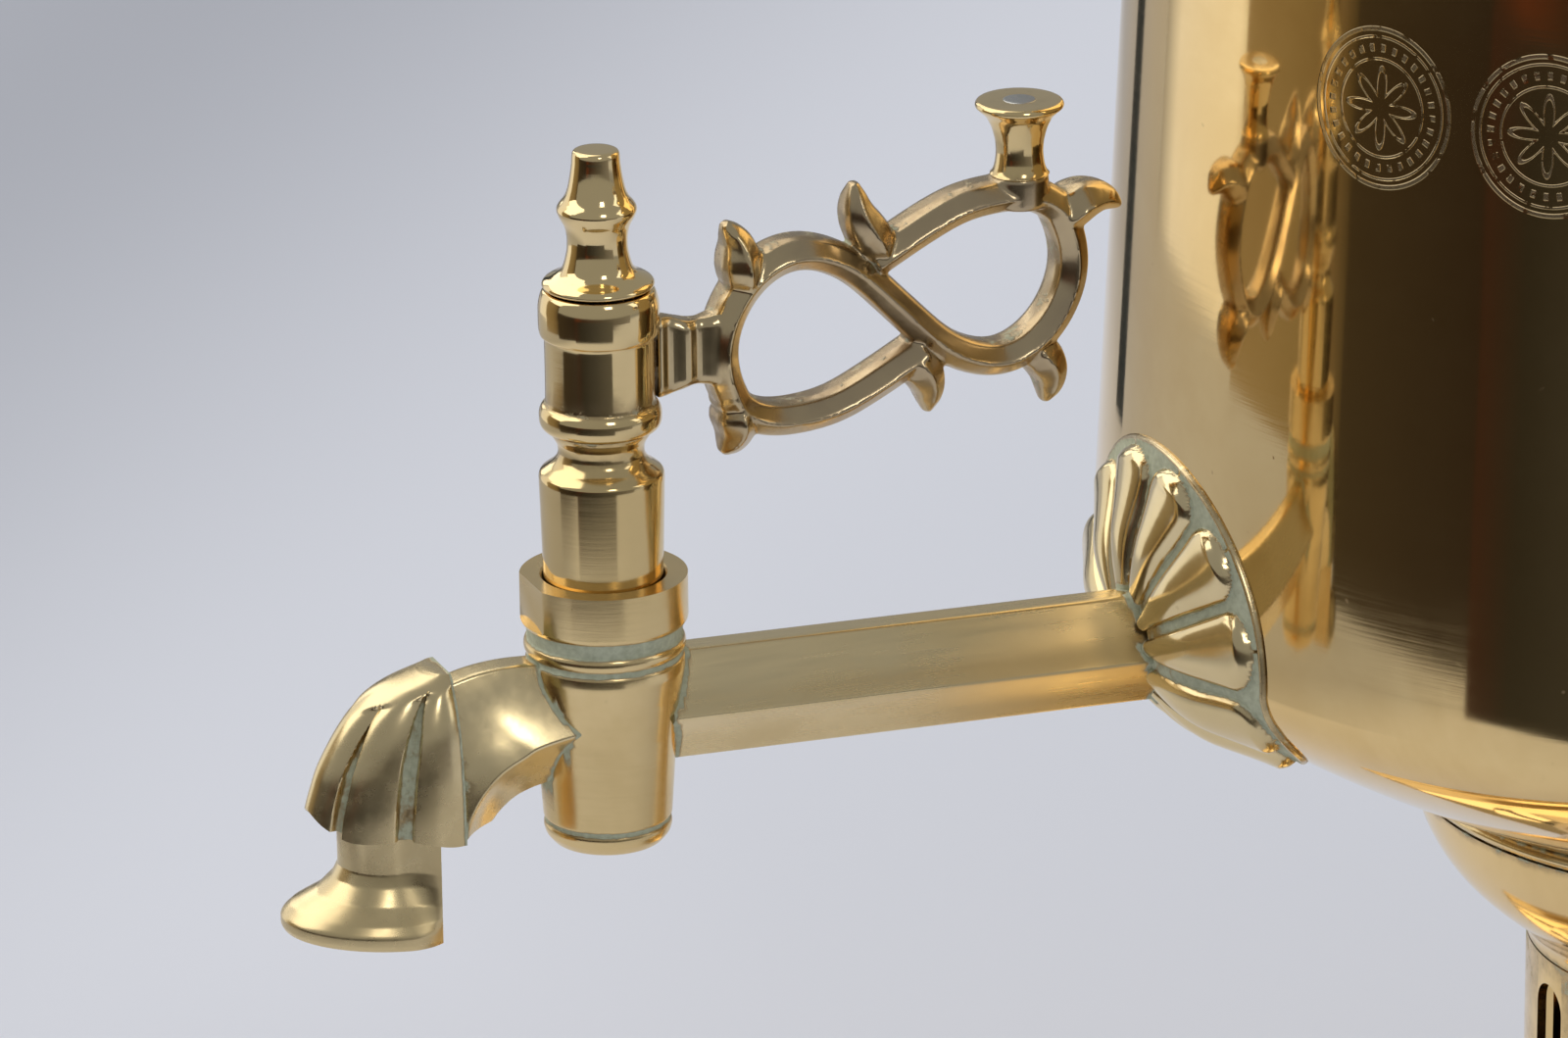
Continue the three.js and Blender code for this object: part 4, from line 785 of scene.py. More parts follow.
def build_waist():
    """The ring under the bowl, the cup below it, and the neck with its vents."""
    ring_shares = [(0.71, 0), (0.985, 0, 0.6), (1, 0.5), (0.985, 1, 0.6), (0.71, 1)]
    ring = turned("waist_ring_fine", scaled(ring_shares, "waist_ring", 0.4 * MM), AXIS, 192)
    dress(ring, "body", "polished_brass", RINGED, "waist_ring")

    low, high = corners("neck_cup")
    wide, depth = half_width("neck_cup"), high.z - low.z
    curve = bezier([(wide, high.z), (wide - 0.2 * (wide - NECK_RADIUS), high.z - 0.68 * depth),
                    (NECK_RADIUS, low.z + 0.24 * depth), (NECK_RADIUS, low.z)], 28)
    outside = [tuple(p) for p in curve]
    dirt = [0.55] + [0] * 24 + [0.1, 0.3, 0.6]
    outline = [(r, h, d) for (r, h), d in zip(outside, dirt)]
    outline += [(r, min(max(h, low.z), high.z), 0) for r, h in offset(outside, -SHEET)[::-1]]
    dress(turned("neck_cup_fine", outline, AXIS, 192), "body", "polished_brass", SPUN, "neck_cup")

    low, high = corners("neck")
    drop, flare = high.z - low.z, half_width("neck") - NECK_RADIUS
    neck_shares = [(0, 1), (0, 0.42), (0.1, 0.3), (0.32, 0.19), (0.7, 0.11), (1, 0.08), (1, 0)]
    points = [(NECK_RADIUS + r * flare, low.z + h * drop, 0, (5 if i < 5 else 0.4) * MM)
              for i, (r, h) in enumerate(neck_shares)]
    outside = [p[:2] for p in soften(points, 2 * MM, steps=6)]
    outline = [(r, h, 0.5 if i == 0 or h < low.z + 1 * MM else 0) for i, (r, h) in enumerate(outside)]
    outline += [(r, max(h, low.z), 0) for r, h in offset(outside, -SHEET)[::-1]]
    neck = turned("neck_fine", outline, AXIS, 160)
    foot = high.z - VENT_DROP - VENT_HEIGHT
    tools = [window_tool(ROUND * k / VENTS, VENT_WIDTH, VENT_HEIGHT, foot, 80 * MM) for k in range(VENTS)]
    dress(cut_away(neck, *tools), "body", "polished_brass", SPUN, "neck")


def build_base():
    """The square base, pressed from sheet: a square drawn down its outline and back up inside."""
    low, high = corners("base_plate")
    half, height, wall = half_width("base_plate"), high.z - low.z, 1.6 * MM
    # Each row ends with the reach of its rounding in millimetres.
    base_shares = [(0.75, 1, 0.9), (0.8, 0.78, 2), (0.86, 0.62, 2), (0.93, 0.5, 0.8), (0.95, 0.36, 2),
                   (1, 0.27, 0.8), (1, 0, 0.5)]
    core, ledge = 0.3 * half, half - BASE_LEDGE
    points = [(across * half, low.z + up * height, 0, reach * MM) for across, up, reach in base_shares]
    outside = [p[:2] for p in soften([(core, high.z), *points, (ledge, low.z)], 2 * MM, steps=4)]
    inner = [p for p in outside[1:-1] if p[1] > low.z + wall]
    inside = [(r, min(h, high.z - wall)) for r, h in offset(inner, -wall)[::-1]]
    rows = [*outside, (ledge, low.z + wall), (half - 2 * wall, low.z + wall), *inside]
    rows.append((core, high.z - wall))
    stops = [Matrix.Translation((0, AXIS.y, h)) @ Matrix.Diagonal((r, r, 1, 1)) for r, h in rows]
    work = draw_ring([(1, 1), (-1, 1), (-1, -1), (1, -1)], stops)
    chains = []
    for edge in work.edges:
        a, b = (point.co - AXIS for point in edge.verts)
        if a.x * b.x > 0 and a.y * b.y > 0:
            chains.append(edge)
    bmesh.ops.bevel(work, geom=chains, offset=BASE_CORNER, offset_type="OFFSET", segments=4, profile=0.5,
                    affect="EDGES", material=-1, clamp_overlap=True)
    base = finish_work(work, "base_plate_fine", capped=True)
    dress(base, "body", "polished_brass", SPUN, "base_plate")

    bun_shares = [(0, 0), (0.6, 0), (0.95, 0.17), (1, 0.4), (0.88, 0.62), (0.56, 0.76, 0.8),
                  (0.56, 0.84, 0.8), (0.8, 0.92, 0.3), (0.8, 1), (0, 1)]
    for corner in ("front_left", "front_right", "rear_left", "rear_right"):
        turned_node(f"foot_{corner}", "body", "cast_brass", CAST, bun_shares, 1.5 * MM, 64)


# Rim, lid, crown and cap

def build_rim():
    """The moulded flange on the wall's upper edge."""
    low, high = corners("rim_flange")
    reach, inner, height = half_width("rim_flange"), RIM_RADIUS - RIM_LEDGE, high.z - low.z
    moulding_shares = [
        (0, 0), (0.6, 0), (0.66, 0.03, 0.5), (0.74, 0.1), (0.78, 0.2, 0.7), (0.9, 0.24), (1, 0.36),
        (1, 0.52), (0.93, 0.62), (0.82, 0.66, 0.7), (0.8, 0.72), (0.77, 0.9), (0.68, 1, 0.4), (0, 1),
    ]
    points = [(inner + s[0] * (reach - inner), low.z + s[1] * height, *s[2:]) for s in moulding_shares]
    flange = turned("rim_flange_fine", soften(points, 1.1 * MM), AXIS, 256)
    dress(flange, "body", "polished_brass", SPUN, "rim_flange")


def build_lid():
    """The lid with its collar and skirt, its two knobs and its steam vent."""
    low, high = corners("lid")
    # The fine lid's edge lies a little inside the plain one's.
    radius, base, bore = half_width("lid") / 1.006, low.z + SKIRT_DEPTH, FLUE_RADIUS + LID_PLAY
    lid_shares = [(1, 0, 0.5), (1.0, 0.06), (0.965, 0.14), (0.92, 0.25), (0.81, 0.53), (0.64, 0.78),
                  (0.4, 0.94), (0.12, 1), (0.03, 1.01, 0.5), (0, 1.07)]
    inner, rise = bore + SHEET, (high.z - base) / 1.07
    points = []
    for i, share in enumerate(lid_shares):
        dirt, reach = (*share[2:], 0)[0], 4 * MM if 2 < i < 8 else 0.8 * MM
        points.append((inner + share[0] * (radius - inner), base + share[1] * rise, dirt, reach))
    outside = soften(points, 1 * MM, steps=5)
    inside = [p for p in offset([p[:2] for p in outside], SHEET)[::-1] if p[0] < radius - LID_EDGE]
    skirt = RIM_RADIUS - SKIRT_INSET
    edge = [(skirt - SHEET, base + SHEET), (skirt - SHEET, low.z), (skirt, low.z), (skirt, base)]
    outline = outside + [(r, h, 0) for r, h in [(bore, high.z), *inside[1:], *edge]]
    dress(turned("lid_fine", outline, AXIS, 224), "lid_body", "polished_brass", SPUN, "lid")

    stem_shares = [(0, 0), (0.9, 0), (1, 0.2, 0.9), (1, 0.32, 0.3), (0.9, 0.37), (0.6, 0.43), (0.46, 0.56),
                   (0.46, 0.66), (0.6, 0.82), (0.98, 0.89), (0.98, 0.96), (0.9, 1), (0, 1)]
    knob_shares = [(0, 0), (0.5, 0), (0.56, 0.06), (0.62, 0.1), (0.9, 0.26), (1, 0.5), (0.9, 0.74),
                   (0.6, 0.9), (0.42, 0.93), (0.36, 0.97), (0.2, 1), (0, 1)]
    for side in ("left", "right"):
        turned_node(f"lid_knob_stem_{side}", "lid_body", "cast_brass", RINGED, stem_shares, 0.7 * MM, 64)
        turned_node(f"lid_knob_{side}", "lid_body", "dark_wood", WOOD_UP, knob_shares, 1.6 * MM, 64)
    seat_shares = [(0, 0), (0.9, 0), (1, 0.25, 0.9), (1, 0.36, 0.3), (0.72, 0.44), (0.58, 0.68),
                   (0.62, 0.82), (0.76, 0.9), (0.76, 0.97), (0.7, 1), (0.3, 1, 0.6), (0.28, 0.4),
                   (0, 0.4)]
    turned_node("steam_vent_seat", "lid_body", "cast_brass", RINGED, seat_shares, 0.6 * MM, 64)
    vent_shares = [(0, 0), (0.3, 0), (0.3, 0.29), (1, 0.3, 0.5), (1, 0.36), (0.55, 0.44), (0.38, 0.6),
                   (0.62, 0.69), (0.82, 0.81), (0.64, 0.94), (0.3, 0.99), (0, 1)]
    turned_node("steam_vent_cap", "vent_cap", "cast_brass", RINGED, vent_shares, 0.7 * MM, 64)


def build_crown():
    """The pierced gallery with its spigot in the fire tube, and the domed cap that it holds."""
    spigot_low = corners("crown_spigot")[0].z
    low, high = corners("crown")
    reach, sleeve, wall = half_width("crown"), half_width("crown_spigot"), CROWN_WALL
    foot, rise = FLUE_RADIUS + CROWN_OVERHANG, high.z - low.z
    outline_shares = [(0.55, 0.2), (0.66, 0.42), (0.73, 0.66), (0.87, 0.8, 0.3)]
    flare = reach - sleeve
    wall_points = [(sleeve + s[0] * flare, low.z + s[1] * rise, *s[2:]) for s in outline_shares]
    outside = soften([
        (sleeve, spigot_low), (sleeve, low.z), (foot, low.z, 0.4),
        (foot + 0.4 * MM, low.z + 0.1 * rise, 0.5), *wall_points,
        (reach - 0.6 * MM, low.z + 0.87 * rise, 0.5), (reach, low.z + 0.9 * rise),
        (reach, high.z - 0.5 * MM), (reach - 0.5 * MM, high.z),
    ], 1.0 * MM, steps=4)
    upper = [p[:2] for p in outside if low.z + 0.2 * rise < p[1] < high.z - 0.2 * MM]
    floor = low.z + wall
    inside = [(reach - wall, high.z), *offset(upper, wall)[::-1]]
    inside += [(inside[-1][0], floor), (sleeve - wall, floor), (sleeve - wall, spigot_low)]
    outline = outside + [(r, h, 0.25 if h < floor + 2 * MM else 0) for r, h in inside]
    crown = turned("crown_fine", outline, AXIS, 180)
    sill = low.z + 0.36 * rise
    tools = [window_tool((k + 0.5) * ROUND / CROWN_WINDOWS, WINDOW_WIDTH, WINDOW_HEIGHT, sill, 70 * MM)
             for k in range(CROWN_WINDOWS)]
    dress(cut_away(crown, *tools), "crown_body", "polished_brass", SPUN, "crown", "crown_spigot")

    cap_shares = [(1, 0), (1, 0.1, 0.3), (0.96, 0.2), (0.93, 0.24, 0.4), (0.8, 0.5), (0.55, 0.8),
                  (0.3, 0.96), (0.2, 1), (0, 1), (0, 0.88), (0.3, 0.84), (0.52, 0.68), (0.76, 0.38),
                  (0.93, 0)]
    turned_node("chimney_cap", "cap_body", "polished_brass", SPUN, cap_shares, 1.2 * MM, 128)
    stem_shares = [(0, 0), (0.98, 0), (1, 0.12, 0.6), (0.62, 0.26), (0.48, 0.5), (0.62, 0.78), (0.98, 0.88),
                   (0.98, 1), (0, 1)]
    turned_node("cap_knob_stem", "cap_body", "cast_brass", RINGED, stem_shares, 0.6 * MM, 64)
    knob_shares = [(0, 0), (0.5, 0), (0.62, 0.1), (0.9, 0.28), (1, 0.52), (0.88, 0.76), (0.55, 0.92),
                   (0.2, 1), (0, 1)]
    turned_node("cap_knob", "cap_body", "dark_wood", WOOD_UP, knob_shares, 1.6 * MM, 64)


# Side handles

def build_handles():
    """The side handles: a turned grip on a rod, held by two cast arms."""
    grip_shares = [(0.28, 0), (0.7, 0), (0.78, 0.03), (0.78, 0.05), (0.68, 0.08, 0.3), (0.82, 0.16),
                   (1, 0.36), (1, 0.64), (0.82, 0.84), (0.68, 0.92, 0.3), (0.78, 0.95), (0.78, 0.97),
                   (0.7, 1), (0.28, 1)]
    circle = [(math.cos(a), math.sin(a)) for a in (ROUND * k / 16 for k in range(16))]
    for name, side in (("left", -1), ("right", 1)):
        low, high = corners(f"grip_{name}")
        centre, radius, length = (low + high) / 2, (high.z - low.z) / 2, high.y - low.y
        outline = soften([(s[0] * radius, s[1] * length, *s[2:]) for s in grip_shares], 2.4 * MM)
        grip = turned(f"grip_{name}_fine", outline, Vector((centre.x, low.y, centre.z)), 64, lying=True)
        dress(grip, "body", "dark_wood", WOOD_ALONG, f"grip_{name}")

        low, high = corners(f"grip_rod_{name}")
        span, reach = high.y - low.y, (high.z - low.z) / 2
        nut = ARM_NUT / span
        rod_shares = [(0, 0), (0.3, 0.1 * nut), (0.75, 0.4 * nut), (1, 0.65 * nut), (1, nut), (0.5, nut),
                      (0.5, 1 - nut), (1, 1 - nut), (1, 1 - 0.65 * nut), (0.75, 1 - 0.4 * nut),
                      (0.3, 1 - 0.1 * nut), (0, 1)]
        outline = soften([(r * reach, h * span, 0) for r, h in rod_shares], 0.8 * MM)
        rod = turned(f"grip_rod_{name}_fine", outline, Vector((centre.x, low.y, centre.z)), 40, lying=True)
        dress(rod, "body", "steel_rod", STEEL, f"grip_rod_{name}")

        for end_name, end in (("front", -1), ("rear", 1)):
            node = f"handle_arm_{end_name}_{name}"
            low, high = corners(node)
            boss_y = (high.y if end > 0 else low.y) - end * BOSS_LENGTH / 2
            foot_y, foot_z = boss_y - end * ARM_SPREAD, centre.z - ARM_DROP
            wall = between(WALL_BY_HEIGHT, foot_z)[1]
            plate_x, grip_x = math.sqrt(wall ** 2 - (foot_y - AXIS.y) ** 2), abs(centre.x)
            path = bezier([
                (side * (plate_x - 1 * MM), foot_y, foot_z),
                (side * (wall + ARM_BELLY), foot_y, foot_z - 7 * MM),
                (side * grip_x, boss_y, foot_z - 8 * MM),
                (side * grip_x, boss_y, centre.z),
            ], 14)
            radial = Vector((side * plate_x, foot_y - AXIS.y, 0)).normalized()
            seat = Vector((side * plate_x, foot_y, foot_z))
            section = [(a * ARM_GIRTH, b * ARM_GIRTH) for a, b in circle]
            girth_shares = (1, 0.91, 0.78, 0.83, 0.91)
            arm = swept("arm", smooth_path(path, 40), section, Vector((0, 1, 0)), girth_shares)
            boss = Vector((side * grip_x, boss_y, centre.z))
            parts = [
                arm,
                disc(boss, Vector((0, 1, 0)), BOSS_RADIUS, BOSS_LENGTH, 0.7 * MM),
                disc(seat + radial * 1.0 * MM, radial, 9.8 * MM, 2.8 * MM, 0.6 * MM),
                disc(seat + radial * 2.6 * MM, radial, 6.4 * MM, 3 * MM, 0.6 * MM),
            ]
            casting = cast_together(f"{node}_fine", parts, 0.45 * MM, 5, 0.3)
            grime_in_hollows(casting, 2.5, 3)
            dress(casting, "body", "cast_brass", CAST, node)


# Tap

def build_barrel():
    """The tap's barrel with its collar, a facet in front, and the bore for the plug."""
    low, high = corners("tap_barrel")
    radius, length = half_width("tap_barrel"), BARREL_LENGTH
    barrel_shares = [
        (1, 0), (1, 0.160), (0.975, 0.172, 0.5), (0.945, 0.178, 0.9), (0.925, 0.214, 0.9),
        (0.915, 0.226, 1), (0.945, 0.232, 0.5), (0.965, 0.243), (0.968, 0.262), (0.945, 0.276, 0.5),
        (0.915, 0.283, 1), (0.915, 0.292, 1), (0.95, 0.304, 0.2), (0.955, 0.34), (0.906, 0.434),
        (0.849, 0.573), (0.81, 0.722), (0.772, 0.885), (0.768, 0.893, 0.5), (0.74, 0.9, 0.9),
        (0.74, 0.907, 0.9), (0.765, 0.916, 0.3), (0.77, 0.93), (0.745, 0.955), (0.66, 0.985), (0.5, 1),
    ]
    mouth = PLUG_MOUTH + PLUG_GAP
    outline = soften([(s[0] * radius, high.z - s[1] * length, *s[2:]) for s in barrel_shares], 0.35 * MM)
    nub, depth = 3.4 * MM, 30 * MM
    bottom = [(nub, outline[-1][1]), (nub, low.z + 0.3 * MM), (nub - 0.4 * MM, low.z), (0, low.z)]
    bore = [(0, high.z - depth, 0), (mouth - 0.6 * MM, high.z - depth, 0),
            (mouth - 0.1 * MM, high.z - 0.3 * MM, 0.3), (mouth + 0.2 * MM, high.z, 0)]
    barrel = turned("tap_barrel_fine", bore + outline + [(r, h, 0.3) for r, h in bottom], TAP_AXIS, 144)
    wide, edge = 20 * MM, high.z - COLLAR_DEPTH
    square = [(-wide, edge), (wide, edge), (wide, high.z + wide), (-wide, high.z + wide)]
    facing = Matrix.Translation((0, TAP.y - COLLAR_FLAT, 0)) @ Matrix.Rotation(math.pi / 2, 4, "X")
    cut_away(barrel, prism(square, facing, wide))
    return dress(barrel, "body", "cast_brass", BARREL, "tap_barrel")


# Points along each of the pipe's six sides
SIDE_STOPS = 9
HEXAGON_POINTS = 6 * SIDE_STOPS


def hexagon_point(points, column):
    """A place on a section of the pipe's kind, between its six corners: hollowed faces, eased ridges, and
    flats above and below."""
    side, stop = divmod(column % HEXAGON_POINTS, SIDE_STOPS)
    a, b = points[side], points[(side + 1) % 6]
    centre = sum(points, Vector((0, 0, 0))) / 6
    length = (b - a).length
    edge = min(PIPE_EDGE / length, 0.3)
    t = (edge * 0.35, edge, 0.25, 0.4, 0.5, 0.6, 0.75, 1 - edge, 1 - edge * 0.35)[stop]
    hollow = 0 if length < PIPE_FLAT * 1.3 else PIPE_HOLLOW * 4 * t * (1 - t)
    ease = PIPE_EDGE * 0.22 * (1 - min(t, 1 - t, edge) / edge)
    here = a.lerp(b, t)
    return here + (centre - (a + b) / 2).normalized() * hollow + (centre - here).normalized() * ease


def pipe_axis(forward):
    """The middle of the pipe, at a distance from the tap's axis towards the vessel."""
    return Vector((0, TAP.y + forward, TAP.z + PIPE_LIFT - forward * math.tan(PIPE_FALL)))


def build_pipe():
    """The six-sided pipe from the rosette to the barrel."""
    flat, width, height = PIPE_FLAT / 2, PIPE_HALF_WIDTH, PIPE_HALF_HEIGHT
    shape = [(flat, height), (width, 0), (flat, -height), (-flat, -height), (-width, 0), (-flat, height)]
    section = [Vector((x, z * math.sin(PIPE_FALL), z)) for x, z in shape]
    span = TAP_REACH - WALL_RADIUS - PIPE_START + 2 * MM
    rows = 90

    def place(column, row):
        # The rows lie closer together at both ends, where grime gathers.
        share = 0.5 - 0.5 * math.cos(math.pi * row / rows)
        centre = pipe_axis(PIPE_START - 2 * MM + (span + 2 * MM) * share)
        return centre + hexagon_point(section, column), 0

    pipe = mapped("tap_pipe_fine", HEXAGON_POINTS, rows, place, 50, capped=True)
    cut_away(pipe, barrel_tool(), angle=50)
    return dress(pipe, "body", "cast_brass", DRAWN, "tap_pipe")


# The wall's outline as (distance along it, radius, height), and where the pipe meets it
RUN = [(0, *WALL[0])]
for spot in WALL[1:]:
    RUN.append((RUN[-1][0] + math.hypot(spot[0] - RUN[-1][1], spot[1] - RUN[-1][2]), *spot))
PIPE_MEETS = pipe_axis(TAP_REACH - WALL_RADIUS).z
RUN_TO_PIPE = between([(height, distance) for distance, _, height in RUN], PIPE_MEETS)[1]


def on_wall(out, angle, rise):
    """A point of the rosette: a distance and an angle from the pipe along the wall, and a rise over it. It
    reaches less far down than up."""
    out = out * (1 - (1 - ROSETTE_DROP / ROSETTE_RADIUS) * max(0, -math.cos(angle)) ** 2)
    _, radius, height = between(RUN, RUN_TO_PIPE + out * math.cos(angle))
    turn = out * math.sin(angle) / radius
    above = between(RUN, RUN_TO_PIPE + out * math.cos(angle) + 1 * MM)
    slope = math.atan2(radius - above[1], above[2] - height)
    reach = radius + rise * math.cos(slope)
    return AXIS + Vector((reach * math.sin(turn), -reach * math.cos(turn), height + rise * math.sin(slope)))


def build_rosette():
    """Twelve bulging petals round the pipe, parted by narrow grooves, on a thin flat border."""
    sectors, levels, start, border = 480, 84, 0.22, 0.97

    def place(column, row):
        angle = ROUND * column / sectors
        if row > levels:
            return on_wall((ROSETTE_RADIUS, start * ROSETTE_RADIUS)[row - levels - 1], angle, -1 * MM), 1
        share = start + (1 - start) * row / levels
        phase = abs((angle * PETALS / ROUND) % 1 - 0.5) * 2
        width = ROUND * share / PETALS
        groove = min(0.045 / width, 0.5)
        bend, end = 0.8, 0.95
        tip = math.sqrt(max(1 - max((share - bend) / (end - bend), 0) ** 2, 0)) if share < end else 0
        across = min(phase / max((1 - groove) * tip, 1e-6), 1)
        petal = math.sqrt(1 - across ** 2.2)
        dome = 1 - step(share, 0.30, 0.93)
        swell = 0.55 + 0.45 * step(share, 0.25, 0.6)
        rise = ROSETTE_EDGE + ROSETTE_RISE * 0.8 * dome + PETAL_RISE * petal * swell * min(tip * 1.3, 1)
        if share > border:
            lip = 0.15 * MM * step(share, border, 0.978) - 0.45 * MM * step(share, 0.988, 1.0)
            rise = ROSETTE_EDGE + lip
        valley = (1 - step(petal, 0.05, 0.33)) * (1 - 0.6 * step(share, 0.972, 0.985))
        dirt = valley * (0.5 + 0.4 * step(share, 0.25, 0.5))
        return on_wall(share * ROSETTE_RADIUS, angle, rise), dirt

    def closed(column, row):
        return place(column, 0 if row == levels + 3 else row)

    rosette = mapped("tap_rosette_fine", sectors, levels + 3, closed)
    return dress(rosette, "body", "cast_brass", LOBED, "tap_rosette")


SPOUT_SHARES = {
    "outer": [(0.1, 0.55), (0.31, 0.6), (0.49, 0.61), (0.66, 0.56), (0.84, 0.42), (1, 0.1), (1.08, -0.3),
              (1.1, -0.76)],
    "ridge": [(0.06, 0.05), (0.2, 0.04), (0.37, -0.02), (0.445, -0.09), (0.546, -0.2), (0.63, -0.37),
              (0.685, -0.56), (0.715, -0.76)],
    "inner": [(0.06, -0.44), (0.15, -0.46), (0.22, -0.48), (0.3, -0.5), (0.36, -0.525), (0.43, -0.58),
              (0.49, -0.67), (0.53, -0.76)],
}


def build_elbow():
    """The six-sided elbow, between its outer line, its side ridges and its inner line."""
    rows = 64
    lines = []
    for name in ("outer", "ridge", "inner"):
        points = [(0, -out * SPOUT_REACH, up * SPOUT_DROP) for out, up in SPOUT_SHARES[name]]
        lines.append(smooth_path(points, rows + 1))
    flat, wide = Vector((PIPE_FLAT / 2, 0, 0)), Vector((PIPE_HALF_WIDTH, 0, 0))

    def place(column, row):
        outer, ridge, inner = (line[row] + TAP for line in lines)
        points = [outer + flat, ridge + wide, inner + flat, inner - flat, ridge - wide, outer - flat]
        return hexagon_point(points, column), 0

    elbow = mapped("spout_elbow_fine", HEXAGON_POINTS, rows, place, 50, capped=True)
    cut_away(elbow, barrel_tool(), angle=50)
    return dress(elbow, "body", "cast_brass", CAST, "spout_elbow")


# Each row is a share of the shell's height, of its reach and of its half width.
SHELL_SHARES = [(0, 1.12, 0.93), (0.2, 1.08, 0.92), (0.335, 1.03, 0.9), (0.48, 0.96, 0.86),
                (0.68, 0.81, 0.77), (0.82, 0.66, 0.65), (0.92, 0.46, 0.51), (1, 0.12, 0.3)]
# Each flute's angle from the shell's flat back, and where it ends below the plain hood
FLUTES = [(math.radians(26), 0.93), (math.radians(61), 0.76)]


def build_shell():
    """The shell: lobes parted by two flat-bottomed flutes at each side, a plain hood and a flat back. Its
    lower edge arches up in front."""
    levels, sectors, back = 84, 360, 36
    table = [tuple(p) for p in smooth_path(SHELL_SHARES, 90)]
    lobe_edges = [0.02, FLUTES[0][0], FLUTES[1][0], math.pi - FLUTES[1][0]]

    def place(column, row):
        column %= sectors + back
        angle = math.pi * min(column, sectors) / sectors
        from_back = min(angle, math.pi - angle)
        low = SHELL_RISE * step(from_back, 0, 0.45) + SHELL_ARCH * math.sin(angle) ** 10 - SHELL_BOTTOM
        height = low + (SHELL_TOP - low) * row / levels
        up = (height + SHELL_BOTTOM) / (SHELL_TOP + SHELL_BOTTOM)
        _, reach, width = between(table, up)
        around = 0.5 * (width * SHELL_HALF_WIDTH + reach * SHELL_REACH)
        channel, lobe = 0, 0
        for centre, end in FLUTES:
            half = FLUTE_WIDTH / 2 * max(1 - max((up - end + 0.45) / 0.45, 0) ** 2, 0) + 1e-6
            away = abs(from_back - centre) * around
            sunk = (1 - step(away, half * 0.75, half * 1.1)) * (1 - step(up, end - 0.03, end))
            channel = max(channel, sunk)
        for start, end in zip(lobe_edges, lobe_edges[1:]):
            if start < from_back <= end:
                lobe = 1 - ((2 * from_back - start - end) / (end - start)) ** 2
        aside = 1 - from_back / (math.pi / 2)
        crease = 0.78 + 0.15 * aside
        hood = step(up, crease, crease + 0.035)
        swell = LOBE_RISE * (lobe * (1 - hood) + 0.95 * hood)
        depth = swell - FLUTE_DEPTH * channel
        side = (width * SHELL_HALF_WIDTH + depth) * math.cos(angle)
        forward = max((reach * SHELL_REACH + depth) * math.sin(angle), 0)
        if column > sectors:
            share = (column - sectors) / back
            side, forward = -width * SHELL_HALF_WIDTH * (1 - 2 * share), 0
        rear = 0.85 * (1 - step(from_back * around, 0.1 * MM, 0.5 * MM))
        return TAP + Vector((side, -SHELL_START - forward, height)), max(channel * 0.66, rear)

    shell = mapped("spout_shell_fine", sectors + back, levels, place, 30, capped=True)
    return dress(shell, "body", "cast_brass", CAST, "spout_shell")


# Each row is the depth below the middle of the tap in millimetres, and the share of the flare.
FLARE_ROWS = [(10.5, 0), (17, 0), (18.5, 0.10), (20.5, 0.37), (22.5, 0.82), (23.6, 0.965), (24.1, 1),
              (25.4, 1), (26, 0.96)]
INNER_ROWS = [(26, 0.90), (25, 0.93), (23.6, 0.84), (21.6, 0.5), (19.4, 0.14), (17.6, 0), (10.5, 0)]


def build_nozzle():
    """A bell with a broad lip that sinks a little to the rear, cut by one flat plane on that side."""
    front, rear, flat = 96, 24, 28
    outer = [(d, f, 0) for d, f, _ in soften(FLARE_ROWS, 0.22, steps=3)]
    inner = [(d, f, 1) for d, f, _ in soften(INNER_ROWS, 0.6, steps=3)]
    rows = [*outer, *inner, outer[0]]
    count = front + 2 * rear + flat

    def place(column, row):
        down, flare, lining = rows[row]
        inset = NOZZLE_WALL * lining
        length = NOZZLE_NECK + flare * NOZZLE_REACH - inset
        width = NOZZLE_NECK + flare * NOZZLE_SPREAD - inset
        cut, broad = NOZZLE_CUT - inset, NOZZLE_FLAT - inset
        column %= count
        if column <= front:
            angle = math.pi * (column / front - 0.5)
            along, side = length * math.cos(angle), width * math.sin(angle)
        elif column <= front + rear or column >= front + rear + flat:
            share = (column - front) / rear if column <= front + rear else (count - column) / rear
            along, side = -cut * share, width + (broad - width) * share ** 2
            side = side if column <= front + rear else -side
        else:
            along, side = -cut, broad * (1 - 2 * (column - front - rear) / flat)
        sink = NOZZLE_TILT * (NOZZLE_NECK + NOZZLE_REACH - along) * step(down, 15, 23)
        return TAP + Vector((side, -SPOUT_REACH - along, -down * MM - sink)), 0

    nozzle = mapped("spout_nozzle_fine", count, len(rows) - 1, place, 42)
    return dress(nozzle, "body", "cast_brass", BELLED, "spout_nozzle")


# Key

